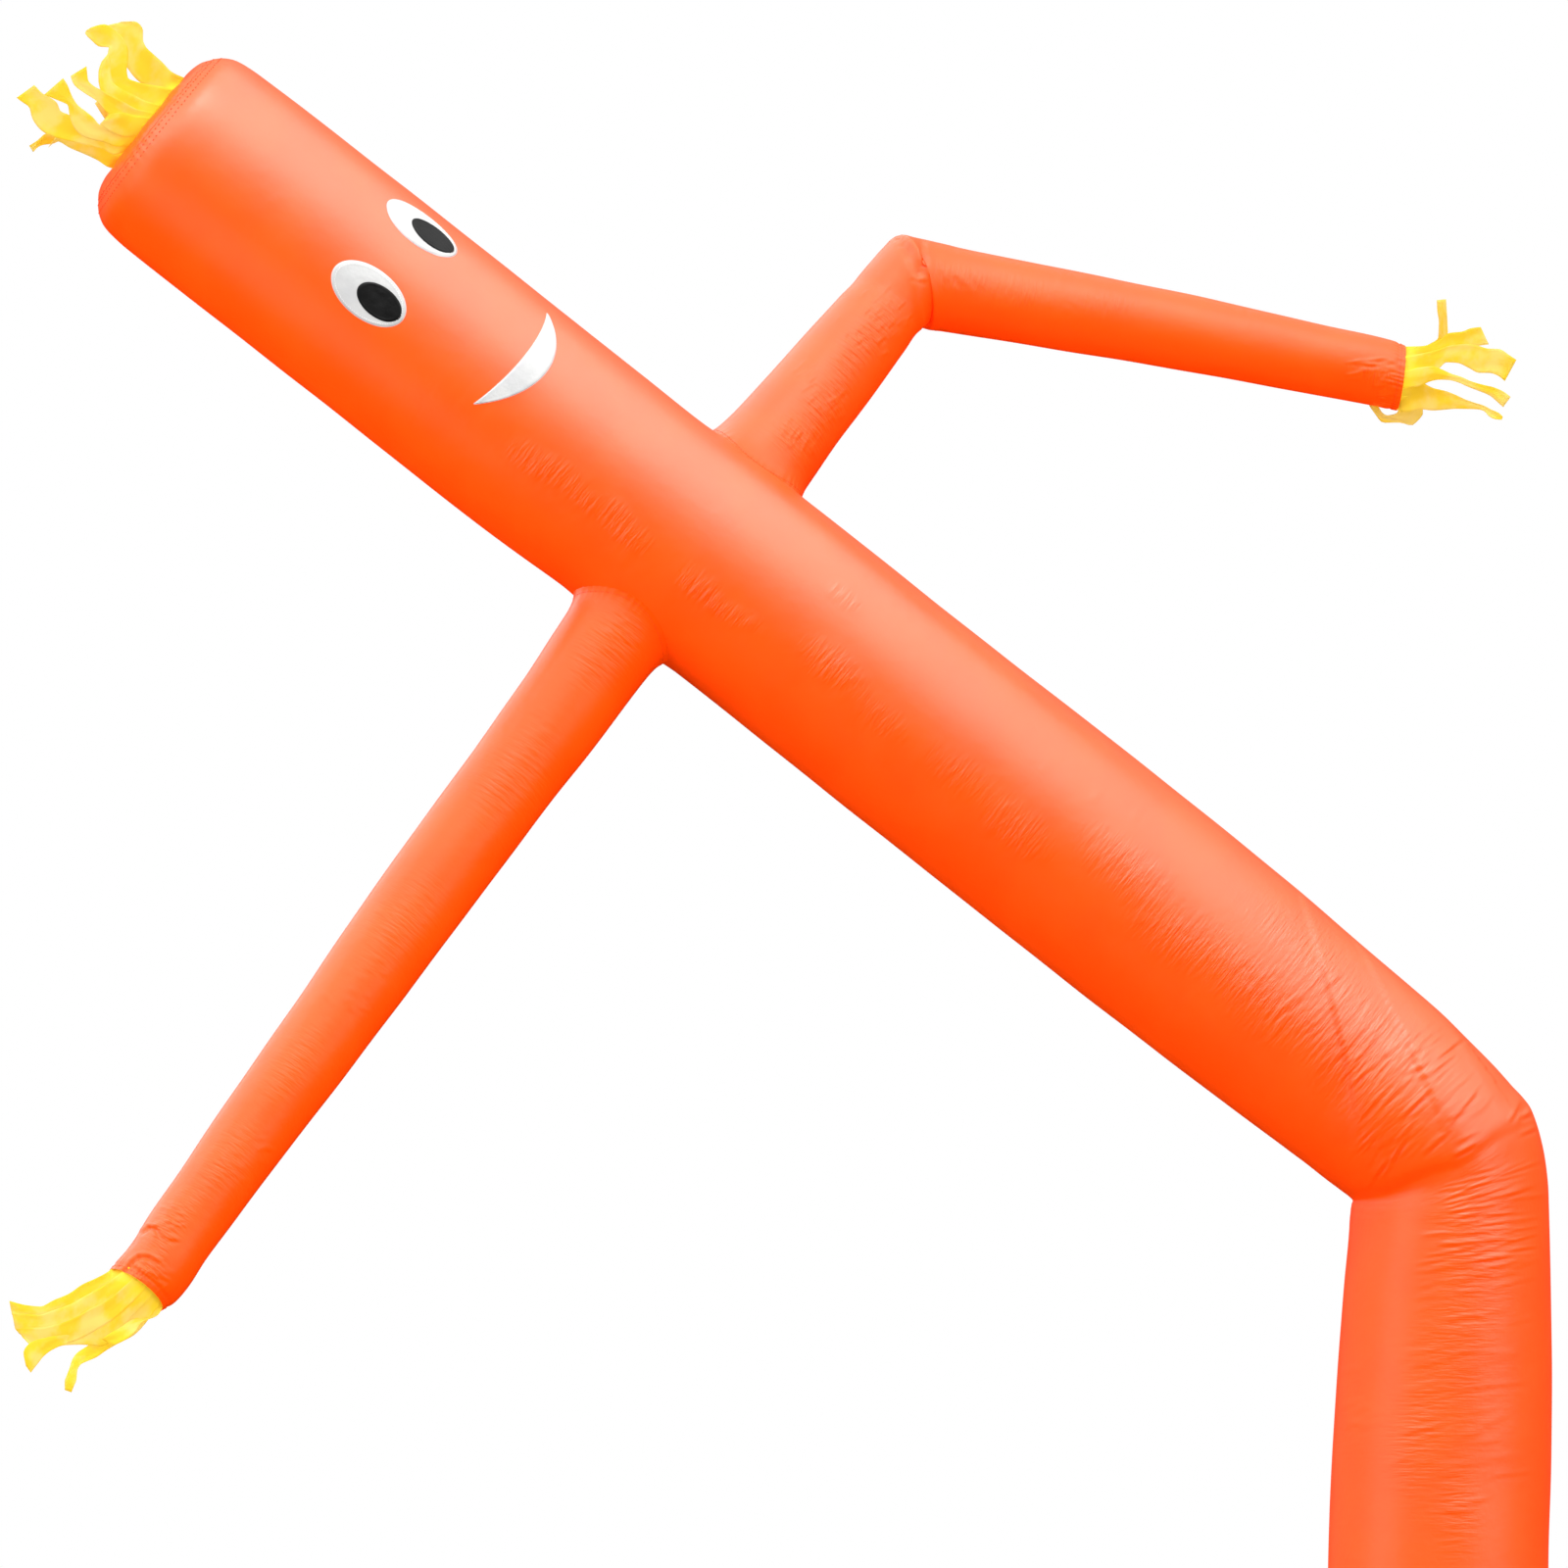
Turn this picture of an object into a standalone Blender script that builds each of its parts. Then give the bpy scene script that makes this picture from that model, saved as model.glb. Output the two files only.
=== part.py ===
# Inflatable air dancer: a figure of cloth tubes that a blower fills and holds up.
# Metres, +Z up. The figure is seen from -Y; it bends at the knee and leans towards -X.
# The origin is the centre of the open base hem, where the blower's collar goes in.

import math
from collections import namedtuple

import bmesh
import bpy
from mathutils import Matrix, Vector

# Driving sizes
CLOTH = 0.002              # wall of a sewn tube
PATCH = 0.001              # thickness of a face patch
STREAMER = 0.0012          # thickness of a streamer
GAP = 0.0003               # clearance between two sewn pieces
HEM_HEIGHT = 0.040         # turned-up base hem
HEM_EXTRA = 0.001          # what the hem's second layer adds to the wall
TUBE_RADIUS = 0.1543       # of the filled torso
LEG_DEPTH = 0.150          # half depth where the leg's outline narrows towards the knee
TORSO_DEPTH = 0.1535       # the same, between the arms and the knee
BODY_SIDES = 32
ARM_SIDES = 20

# Leg: x of the centre, height z, half width. The first row is the base hem.
LEG_SECTIONS = [
    (0.0000, 0.000, 0.1547),
    (0.0010, 0.150, 0.1547),
    (0.0055, 0.296, 0.1540),
    (0.0100, 0.419, 0.1506),
    (0.0140, 0.543, 0.1450),
    (0.0166, 0.626, 0.1404),
]

# Knee: x, z, half width, half depth, tilt of the section in degrees, and sag, which is how far
# the front and the back hang down the tube from the section's plane. The fourth row is the crease.
KNEE_SECTIONS = [
    (0.0167, 0.6550, 0.1394, 0.156, 4.9, 0.008),
    (0.0154, 0.6795, 0.1395, 0.159, 11.8, 0.015),
    (0.0118, 0.7023, 0.1403, 0.158, 19.5, 0.022),
    (0.0058, 0.7240, 0.1407, 0.152, 27.1, 0.029),
    (-0.0020, 0.7343, 0.1403, 0.164, 30.0, 0.027),
    (-0.0125, 0.7448, 0.1392, 0.168, 33.2, 0.021),
    (-0.0310, 0.7634, 0.1392, 0.167, 38.5, 0.012),
    (-0.0548, 0.7853, 0.1397, 0.163, 43.5, 0.005),
    (-0.0851, 0.8138, 0.1419, 0.159, 49.1, 0.001),
]

# Torso: distance from the head's end, half width, sideways offset from the straight axis.
HEAD_END = Vector((-1.811, 0.0, 2.168))
TORSO_SLOPE = math.radians(38.4)
TORSO_SECTIONS = [
    (2.1450, 0.1423, 0.0103),
    (2.0625, 0.1461, 0.0113),
    (1.9250, 0.1506, 0.0124),
    (1.7875, 0.1526, 0.0124),
    (1.6500, 0.1530, 0.0127),
    (1.3750, 0.1519, 0.0110),
    (1.0725, 0.1516, 0.0113),
    (0.8800, 0.1506, 0.0069),
    (0.6875, 0.1540, 0.0034),
    (0.4125, 0.1543, 0.0030),
    (0.1650, 0.1543, 0.0011),
    (0.0825, 0.1533, 0.0000),
    (0.0550, 0.1513, 0.0000),
    (0.0410, 0.1485, 0.0000),
    (0.0275, 0.1416, 0.0000),
    (0.0190, 0.1340, 0.0000),
    (0.0124, 0.1251, 0.0000),
]

# Head end disc: distance from the head's end, radius, from the seam to the middle.
CAP_PROFILE = [
    (0.0121, 0.1248),
    (0.0066, 0.1165),
    (0.0025, 0.1030),
    (0.0006, 0.0880),
    (0.0000, 0.0500),
]

# Arms: x, y, z of the centre, half width, tilt of the section in degrees, from inside the torso
# to the wrist. Each leaves the torso straight out of its armhole.
LEFT_ARM_SECTIONS = [
    (-1.114, -0.0300, 1.508, 0.0735, 144.0),
    (-1.179, -0.0600, 1.419, 0.0710, 144.0),
    (-1.226, -0.0860, 1.351, 0.0686, 144.0),
    (-1.291, -0.1190, 1.263, 0.0655, 144.0),
    (-1.421, -0.1870, 1.087, 0.0636, 144.0),
    (-1.547, -0.2540, 0.910, 0.0588, 144.0),
    (-1.675, -0.3210, 0.734, 0.0535, 144.5),
    (-1.721, -0.3460, 0.668, 0.0511, 145.0),
    (-1.761, -0.3670, 0.612, 0.0504, 144.0),
    (-1.782, -0.3800, 0.578, 0.0501, 142.0),
    (-1.799, -0.3880, 0.557, 0.0494, 142.0),
    (-1.817, -0.3960, 0.541, 0.0456, 143.0),
]
RIGHT_ARM_SECTIONS = [
    (-0.988, 0.0485, 1.652, 0.0750, -39.8),
    (-0.950, 0.0810, 1.699, 0.0730, -39.8),
    (-0.932, 0.0960, 1.720, 0.0717, -39.8),
    (-0.898, 0.1250, 1.763, 0.0686, -39.8),
    (-0.863, 0.1540, 1.806, 0.0659, -39.8),
    (-0.793, 0.2130, 1.893, 0.0601, -39.8),
    (-0.775, 0.2270, 1.915, 0.0574, -39.8),
    (-0.760, 0.2370, 1.933, 0.0590, -53.5),
    (-0.747, 0.2450, 1.947, 0.0629, -65.8),
    (-0.737, 0.2510, 1.955, 0.0662, -75.0),
    (-0.723, 0.2550, 1.952, 0.0630, -81.2),
    (-0.705, 0.2580, 1.948, 0.0606, -90.0),
    (-0.682, 0.2600, 1.942, 0.0605, -101.4),
    (-0.574, 0.2680, 1.923, 0.0581, -101.4),
    (-0.355, 0.2840, 1.883, 0.0540, -101.4),
    (-0.165, 0.2970, 1.844, 0.0499, -101.4),
    (-0.070, 0.3040, 1.825, 0.0481, -100.0),
    (-0.045, 0.3060, 1.818, 0.0464, -97.0),
]
ELBOW_PINCH = 0.90         # depth of the elbow's creased section against its half width
ELBOW_ROW = 9
ARM_BORE_ROWS = 3          # rows of an arm that its armhole follows
ARM_STRETCH = (0.60, 1.40) # stations of the torso rows that the armholes lie between

# Face: turned from the front towards the upper side of the torso.
FACE_TURN = math.radians(27.5)
EYE_SPREAD = math.radians(25.7)
EYE_STATION = 0.394        # distance from the head's end
EYE_LENGTH, EYE_WIDTH = 0.121, 0.073
PUPIL_STATION = 0.413
PUPIL_LENGTH, PUPIL_WIDTH = 0.073, 0.043
MOUTH_STATION = 0.605      # its two tips
MOUTH_HALF_TURN = math.radians(36.8)
MOUTH_INNER_DROP, MOUTH_OUTER_DROP = 0.014, 0.051
MOUTH_TIP = 0.002          # height of its blunt tips
PATCH_RISE = 0.0005        # from the torso's rings to a patch's back

# Streamers: each hand and the hair hang from a narrow band that is cut into seats all round.
BAND_HEIGHT = 0.012
HAIR_BAND_RADIUS = 0.082
HAIR_SEATS = 16
HAND_SEATS = 10
SEAT_FILL = 0.88           # share of a seat that its streamer takes
STEPS_PER_BEND = 3
TURN_IN = 1.6              # how soon a streamer turns its face to the front

# Each streamer: its seat on the band, then x, y, z and half width near the band, halfway and at
# the tip, and its twist in degrees. Seats count from the lower end of the band round the front.
Streamer = namedtuple("Streamer", "seat near middle tip twist")
HAIR = [
    Streamer(0, (-1.886, -0.020, 2.132, 0.012), (-1.918, -0.024, 2.149, 0.012),
             (-1.953, -0.028, 2.154, 0.010), 10),
    Streamer(1, (-1.890, -0.044, 2.137, 0.010), (-1.933, -0.048, 2.147, 0.007),
             (-1.973, -0.056, 2.134, 0.005), -15),
    Streamer(2, (-1.881, -0.066, 2.153, 0.017), (-1.926, -0.072, 2.175, 0.019),
             (-1.985, -0.080, 2.204, 0.011), 12),
    Streamer(3, (-1.878, -0.080, 2.150, 0.012), (-1.924, -0.090, 2.187, 0.015),
             (-1.936, -0.096, 2.217, 0.012), -8),
    Streamer(4, (-1.853, -0.084, 2.188, 0.012), (-1.877, -0.092, 2.209, 0.011),
             (-1.905, -0.100, 2.237, 0.010), -15),
    Streamer(5, (-1.842, -0.068, 2.205, 0.018), (-1.849, -0.072, 2.252, 0.018),
             (-1.882, -0.070, 2.294, 0.014), 10),
    Streamer(6, (-1.819, -0.046, 2.217, 0.018), (-1.830, -0.046, 2.258, 0.018),
             (-1.837, -0.044, 2.301, 0.017), -10),
    Streamer(7, (-1.794, -0.018, 2.228, 0.014), (-1.810, -0.020, 2.259, 0.014),
             (-1.827, -0.016, 2.294, 0.012), 8),
    Streamer(8, (-1.787, 0.018, 2.235, 0.011), (-1.804, 0.016, 2.254, 0.011),
             (-1.821, 0.012, 2.281, 0.010), -8),
    Streamer(10, (-1.826, 0.068, 2.211, 0.018), (-1.848, 0.064, 2.236, 0.017),
             (-1.853, 0.056, 2.288, 0.012), 12),
    Streamer(12, (-1.862, 0.084, 2.173, 0.012), (-1.878, 0.092, 2.208, 0.010),
             (-1.898, 0.096, 2.231, 0.008), 8),
    Streamer(13, (-1.881, 0.070, 2.151, 0.015), (-1.934, 0.072, 2.184, 0.015),
             (-1.972, 0.080, 2.210, 0.010), -10),
    Streamer(15, (-1.880, 0.020, 2.136, 0.012), (-1.916, 0.024, 2.155, 0.012),
             (-1.960, 0.030, 2.169, 0.010), 8),
]
LEFT_HAND = [
    Streamer(0, (-1.880, -0.418, 0.541, 0.014), (-1.931, -0.428, 0.510, 0.014),
             (-1.987, -0.440, 0.518, 0.008), 8),
    Streamer(1, (-1.876, -0.442, 0.520, 0.014), (-1.926, -0.452, 0.497, 0.014),
             (-1.983, -0.466, 0.498, 0.011), -10),
    Streamer(2, (-1.869, -0.454, 0.501, 0.014), (-1.920, -0.468, 0.482, 0.012),
             (-1.970, -0.482, 0.478, 0.010), 10),
    Streamer(3, (-1.862, -0.446, 0.490, 0.012), (-1.920, -0.456, 0.472, 0.009),
             (-1.966, -0.468, 0.445, 0.011), -12),
    Streamer(4, (-1.853, -0.424, 0.477, 0.011), (-1.891, -0.432, 0.447, 0.008),
             (-1.910, -0.440, 0.404, 0.006), 25),
    Streamer(5, (-1.822, -0.398, 0.497, 0.011), (-1.840, -0.402, 0.483, 0.011),
             (-1.859, -0.408, 0.473, 0.010), 8),
    Streamer(6, (-1.846, -0.374, 0.494, 0.012), (-1.877, -0.382, 0.480, 0.011),
             (-1.908, -0.392, 0.479, 0.010), -8),
    Streamer(7, (-1.865, -0.362, 0.505, 0.012), (-1.920, -0.370, 0.484, 0.012),
             (-1.962, -0.376, 0.468, 0.011), 6),
    Streamer(8, (-1.873, -0.376, 0.522, 0.012), (-1.925, -0.392, 0.502, 0.012),
             (-1.976, -0.402, 0.503, 0.012), -6),
    Streamer(9, (-1.877, -0.398, 0.538, 0.011), (-1.921, -0.410, 0.514, 0.010),
             (-1.951, -0.420, 0.508, 0.008), 8),
]
RIGHT_HAND = [
    Streamer(0, (-0.027, 0.290, 1.767, 0.008), (-0.043, 0.286, 1.755, 0.006),
             (-0.083, 0.290, 1.769, 0.006), 0),
    Streamer(1, (-0.006, 0.266, 1.786, 0.011), (0.045, 0.262, 1.781, 0.007),
             (0.092, 0.258, 1.765, 0.005), 15),
    Streamer(2, (-0.001, 0.256, 1.810, 0.011), (0.051, 0.250, 1.807, 0.008),
             (0.100, 0.244, 1.787, 0.008), -10),
    Streamer(3, (0.003, 0.268, 1.851, 0.014), (0.063, 0.264, 1.842, 0.017),
             (0.108, 0.258, 1.828, 0.015), 10),
    Streamer(4, (-0.000, 0.288, 1.859, 0.012), (0.038, 0.284, 1.870, 0.012),
             (0.071, 0.276, 1.878, 0.014), -12),
    Streamer(5, (-0.002, 0.318, 1.860, 0.010), (0.011, 0.318, 1.885, 0.008),
             (0.014, 0.320, 1.929, 0.008), 15),
    Streamer(6, (0.001, 0.338, 1.854, 0.011), (0.047, 0.336, 1.859, 0.011),
             (0.087, 0.336, 1.849, 0.010), -8),
    Streamer(7, (0.001, 0.352, 1.824, 0.010), (0.043, 0.350, 1.814, 0.007),
             (0.084, 0.350, 1.799, 0.005), 10),
    Streamer(8, (-0.002, 0.344, 1.794, 0.010), (0.037, 0.346, 1.784, 0.005),
             (0.076, 0.350, 1.773, 0.005), -12),
    Streamer(9, (-0.022, 0.320, 1.781, 0.010), (-0.008, 0.318, 1.778, 0.007),
             (0.006, 0.318, 1.779, 0.005), 6),
]

# Cloth colours: linear red, green, blue, and roughness.
CLOTHS = {
    "orange_cloth": ((1.00, 0.12, 0.015), 0.55),
    "yellow_cloth": ((0.95, 0.66, 0.04), 0.60),
    "white_cloth": ((0.90, 0.90, 0.90), 0.60),
    "black_cloth": ((0.01, 0.01, 0.01), 0.60),
}

TORSO_DOWN = Vector((math.cos(TORSO_SLOPE), 0.0, -math.sin(TORSO_SLOPE)))
TORSO_ACROSS = Vector((math.sin(TORSO_SLOPE), 0.0, math.cos(TORSO_SLOPE)))
FRONT = Vector((0.0, -1.0, 0.0))

Section = namedtuple("Section", "centre half depth tilt sag wall")


def clear_scene():
    for old in list(bpy.data.objects):
        bpy.data.objects.remove(old, do_unlink=True)


def make_materials():
    materials = {}
    for name, (colour, roughness) in CLOTHS.items():
        material = bpy.data.materials.new(name)
        material.use_nodes = True
        shader = material.node_tree.nodes["Principled BSDF"]
        shader.inputs["Base Color"].default_value = (*colour, 1.0)
        shader.inputs["Roughness"].default_value = roughness
        materials[name] = material
    return materials


def add_object(name, bm, material=None):
    """Turn a closed bmesh into a named object; one without a material is a cutter."""
    bmesh.ops.recalc_face_normals(bm, faces=bm.faces)
    if bm.calc_volume(signed=True) < 0:
        bmesh.ops.reverse_faces(bm, faces=bm.faces)
    mesh = bpy.data.meshes.new(name)
    bm.to_mesh(mesh)
    bm.free()
    made = bpy.data.objects.new(name, mesh)
    bpy.context.scene.collection.objects.link(made)
    if material is None:
        made.hide_render = True
        made.display_type = 'WIRE'
        return made
    mesh.materials.append(material)
    mesh.shade_smooth()
    mesh.set_sharp_from_angle(angle=math.radians(35))
    return made


def cut(piece, cutter):
    boolean = piece.modifiers.new("cut_" + cutter.name, 'BOOLEAN')
    boolean.operation = 'DIFFERENCE'
    boolean.solver = 'EXACT'
    boolean.object = cutter


# Sections and tubes

def body_sections():
    """Sections of the one tube that is leg, knee, torso and head, from the hem upwards."""
    rows = []
    hem_x, hem_z, hem_half = LEG_SECTIONS[0]
    for z, extra in ((0.0, HEM_EXTRA), (HEM_HEIGHT, HEM_EXTRA), (HEM_HEIGHT + HEM_EXTRA, 0.0)):
        half = hem_half + extra
        rows.append(Section(Vector((hem_x, 0, hem_z + z)), half, half, 0.0, 0.0, CLOTH + extra))
    for x, z, half in LEG_SECTIONS[1:]:
        rows.append(Section(Vector((x, 0, z)), half, max(half, LEG_DEPTH), 0.0, 0.0, CLOTH))
    for x, z, half, depth, tilt, sag in KNEE_SECTIONS:
        rows.append(Section(Vector((x, 0, z)), half, depth, tilt, sag, CLOTH))
    across_tilt = 90.0 - math.degrees(TORSO_SLOPE)
    for station, half, offset in TORSO_SECTIONS:
        centre = HEAD_END + TORSO_DOWN * station + TORSO_ACROSS * offset
        depth = max(half, TORSO_DEPTH) if station > ARM_STRETCH[0] else half
        rows.append(Section(centre, half, depth, across_tilt, 0.0, CLOTH))
    return rows


def arm_sections(table, pinch_row=None):
    rows = []
    for index, (x, y, z, half, tilt) in enumerate(table):
        depth = half * ELBOW_PINCH if index == pinch_row else half
        rows.append(Section(Vector((x, y, z)), half, depth, tilt, 0.0, CLOTH))
    return rows


def section_frame(sections, index):
    """Across, towards the front, and along the tube at one section."""
    here = sections[index]
    across = Vector((math.cos(math.radians(here.tilt)), 0.0, math.sin(math.radians(here.tilt))))
    before = sections[max(index - 1, 0)].centre
    after = sections[min(index + 1, len(sections) - 1)].centre
    along = after - before
    along = (along - across * along.dot(across)).normalized()
    return across, across.cross(along), along


def ring(sections, index, sides, inset):
    """Points of one section, drawn in by inset."""
    here = sections[index]
    across, front, along = section_frame(sections, index)
    points = []
    for step in range(sides):
        angle = 2 * math.pi * step / sides
        reach = across * ((here.half - inset) * math.cos(angle))
        rise = front * ((here.depth - inset) * math.sin(angle))
        hang = along * (here.sag * math.sin(angle) ** 2)
        points.append(here.centre + reach + rise - hang)
    return points


def bridge_loops(bm, loops, closed):
    """Join each loop of vertices to the next with quads."""
    pairs = list(zip(loops, loops[1:]))
    if closed:
        pairs.append((loops[-1], loops[0]))
    for one, other in pairs:
        for k in range(len(one)):
            n = (k + 1) % len(one)
            bm.faces.new((one[k], one[n], other[n], other[k]))


def tube_shell(sections, sides):
    """A cloth tube, open at both ends: out along its outer rings and back along its inner ones."""
    bm = bmesh.new()
    count = len(sections)
    loops = [ring(sections, i, sides, 0.0) for i in range(count)]
    loops += [ring(sections, i, sides, sections[i].wall) for i in reversed(range(count))]
    bridge_loops(bm, [[bm.verts.new(point) for point in loop] for loop in loops], closed=True)
    return bm


def tube_solid(sections, sides, inset):
    """The filled shape of a stretch of tube, for cutting."""
    bm = bmesh.new()
    loops = [[bm.verts.new(p) for p in ring(sections, i, sides, inset)] for i in range(len(sections))]
    bridge_loops(bm, loops, closed=False)
    bm.faces.new(loops[0])
    bm.faces.new(loops[-1])
    return bm


# The head's end disc

def cap_shell():
    """A domed disc: its outer face, its rim and its inner face."""
    bm = bmesh.new()
    inner = []
    for index, (station, radius) in enumerate(CAP_PROFILE):
        before = CAP_PROFILE[max(index - 1, 0)]
        after = CAP_PROFILE[min(index + 1, len(CAP_PROFILE) - 1)]
        slope = Vector((after[0] - before[0], after[1] - before[1])).normalized()
        if index == 0:
            inner.append((station, radius - CLOTH))
        else:
            inner.append((station - slope.y * CLOTH, radius + slope.x * CLOTH))
    faces = []
    for profile in (CAP_PROFILE, inner):
        loops = []
        for station, radius in profile:
            loop = []
            for step in range(BODY_SIDES):
                angle = 2 * math.pi * step / BODY_SIDES
                turned = TORSO_ACROSS * math.cos(angle) + FRONT * math.sin(angle)
                loop.append(bm.verts.new(HEAD_END + TORSO_DOWN * station + turned * radius))
            loops.append(loop)
        bridge_loops(bm, loops, closed=False)
        faces.append(loops)
    bridge_loops(bm, [faces[0][0], faces[1][0]], closed=False)
    for loops in faces:
        bmesh.ops.triangle_fill(bm, edges=ring_edges(bm, loops[-1]), use_beauty=True)
    return bm


def ring_edges(bm, loop):
    edges = []
    for k, vertex in enumerate(loop):
        following = loop[(k + 1) % len(loop)]
        edges.append(bm.edges.get((vertex, following)) or bm.edges.new((vertex, following)))
    return edges


# Face patches

def torso_point(station, angle, lift):
    """A point above the torso's cloth, turned from the front towards the upper side."""
    below, above = TORSO_SECTIONS[0], TORSO_SECTIONS[1]
    for first, second in zip(TORSO_SECTIONS, TORSO_SECTIONS[1:]):
        if first[0] >= station >= second[0]:
            below, above = first, second
    share = (station - below[0]) / (above[0] - below[0])
    radius = below[1] + (above[1] - below[1]) * share
    offset = below[2] + (above[2] - below[2]) * share
    turned = TORSO_ACROSS * math.sin(angle) + FRONT * math.cos(angle)
    axis = HEAD_END + TORSO_DOWN * station + TORSO_ACROSS * offset
    return axis + turned * (radius + lift)


def patch_shell(strips, lift):
    """A patch over the torso from cross strips of (station, angle) points, all of one length."""
    bm = bmesh.new()
    layers = []
    for height in (lift, lift + PATCH):
        layers.append([[bm.verts.new(torso_point(s, a, height)) for s, a in row] for row in strips])
    for rows in layers:
        for one, other in zip(rows, rows[1:]):
            for k in range(len(one) - 1):
                bm.faces.new((one[k], one[k + 1], other[k + 1], other[k]))
    below, above = (patch_rim(rows) for rows in layers)
    bridge_loops(bm, [below, above], closed=False)
    return bm


def patch_rim(rows):
    """The vertices round the edge of a grid of rows."""
    right = [row[-1] for row in rows[1:-1]]
    left = [row[0] for row in rows[1:-1]]
    return rows[0] + right + rows[-1][::-1] + left[::-1]


def oval_strips(station, angle, length, width):
    """A grid over an oval, squeezed from a square so that it has no single tip."""
    steps = 8
    strips = []
    for i in range(steps + 1):
        row = []
        for j in range(steps + 1):
            u, v = 2 * i / steps - 1, 2 * j / steps - 1
            x = u * math.sqrt(1 - v * v / 2)
            y = v * math.sqrt(1 - u * u / 2)
            row.append((station + x * length / 2, angle + y * width / 2 / TUBE_RADIUS))
        strips.append(row)
    return strips


def crescent_strips():
    """A smile: two arcs that nearly meet at its blunt tips."""
    steps, across = 16, 2
    strips = []
    for i in range(steps + 1):
        turn = 2 * i / steps - 1
        bow = 1 - turn * turn
        row = []
        for j in range(across + 1):
            share = j / across
            drop = (MOUTH_INNER_DROP + (MOUTH_OUTER_DROP - MOUTH_INNER_DROP) * share) * bow
            drop += (share - 0.5) * MOUTH_TIP
            row.append((MOUTH_STATION + drop, FACE_TURN + MOUTH_HALF_TURN * turn))
        strips.append(row)
    return strips


# Streamers

def ease(share):
    share = min(max(share, 0.0), 1.0)
    return share * share * (3 - 2 * share)


def streamer_path(root, root_half, along, streamer):
    """Points, directions and half widths from the seat to the tip, on one smooth curve."""
    stops = [root] + [Vector(stop[:3]) for stop in (streamer.near, streamer.middle, streamer.tip)]
    halves = [root_half, streamer.near[3], streamer.middle[3], streamer.tip[3]]
    slopes = [along * (stops[1] - root).length]
    slopes += [(stops[2] - stops[0]) / 2, (stops[3] - stops[1]) / 2, stops[3] - stops[2]]
    path = []
    for bend in range(3):
        start, end = stops[bend], stops[bend + 1]
        leaving, arriving = slopes[bend], slopes[bend + 1]
        for step in range(1, STEPS_PER_BEND + 1):
            t = step / STEPS_PER_BEND
            point = (start * (2 * t**3 - 3 * t**2 + 1) + leaving * (t**3 - 2 * t**2 + t)
                     + end * (3 * t**2 - 2 * t**3) + arriving * (t**3 - t**2))
            heading = (start * (6 * t**2 - 6 * t) + leaving * (3 * t**2 - 4 * t + 1)
                       + end * (6 * t - 6 * t**2) + arriving * (3 * t**2 - 2 * t))
            half = halves[bend] + (halves[bend + 1] - halves[bend]) * ease(t)
            path.append((point, heading.normalized(), half))
    return path


def grow_streamer(bm, seat, along, streamer):
    """Extend one seat of the band, given as four vertices, into a thin strip."""
    outer_a, outer_b, inner_b, inner_a = [vertex.co.copy() for vertex in seat]
    root = (outer_a + outer_b + inner_b + inner_a) / 4
    seat_width = (outer_b - outer_a).normalized()
    facing = ((outer_a + outer_b) - (inner_a + inner_b)).normalized()
    root_half = (outer_b - outer_a).length / 2
    flat = FRONT if facing.dot(FRONT) > 0 else -FRONT
    section = seat
    path = streamer_path(root, root_half, along, streamer)
    for number, (point, heading, half) in enumerate(path, start=1):
        share = number / len(path)
        facing_now = facing.lerp(flat, ease(share * TURN_IN))
        width = facing_now.cross(heading).normalized()
        if width.dot(seat_width) < 0:
            width = -width
        thick = width.cross(heading).normalized()
        if thick.dot(facing_now) < 0:
            thick = -thick
        twist = Matrix.Rotation(math.radians(streamer.twist) * share, 3, heading)
        width, thick = twist @ width, twist @ thick
        side = width * half
        rise = thick * (STREAMER / 2)
        corners = (point - side + rise, point + side + rise, point + side - rise, point - side - rise)
        following = [bm.verts.new(corner) for corner in corners]
        bridge_loops(bm, [section, following], closed=False)
        section = following
    bm.faces.new(section)


def fringe(centre, across, front, along, radius, seats, streamers):
    """A narrow ring band and the streamers that grow out of its seats."""
    bm = bmesh.new()
    pitch = 2 * math.pi / seats
    angles = []
    for seat in range(seats):
        middle = pitch * (seat + 0.5)
        angles += [middle - pitch * SEAT_FILL / 2, middle + pitch * SEAT_FILL / 2]

    def band_loop(size, height):
        loop = []
        for angle in angles:
            turned = across * math.cos(angle) + front * math.sin(angle)
            loop.append(bm.verts.new(centre + turned * size + along * height))
        return loop

    outer = [band_loop(radius, height) for height in (GAP, BAND_HEIGHT)]
    inner = [band_loop(radius - STREAMER, height) for height in (GAP, BAND_HEIGHT)]
    bridge_loops(bm, [outer[1], outer[0], inner[0], inner[1]], closed=False)
    by_seat = {streamer.seat: streamer for streamer in streamers}
    for k in range(len(angles)):
        n = (k + 1) % len(angles)
        rim = [outer[1][k], outer[1][n], inner[1][n], inner[1][k]]
        streamer = by_seat.get(k // 2) if k % 2 == 0 else None
        if streamer is None:
            bm.faces.new(rim)
        else:
            grow_streamer(bm, rim, along, streamer)
    return bm


def hand_fringe(arm, streamers):
    across, front, along = section_frame(arm, len(arm) - 1)
    wrist = arm[-1]
    return fringe(wrist.centre, across, front, along, wrist.half, HAND_SEATS, streamers)


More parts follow.
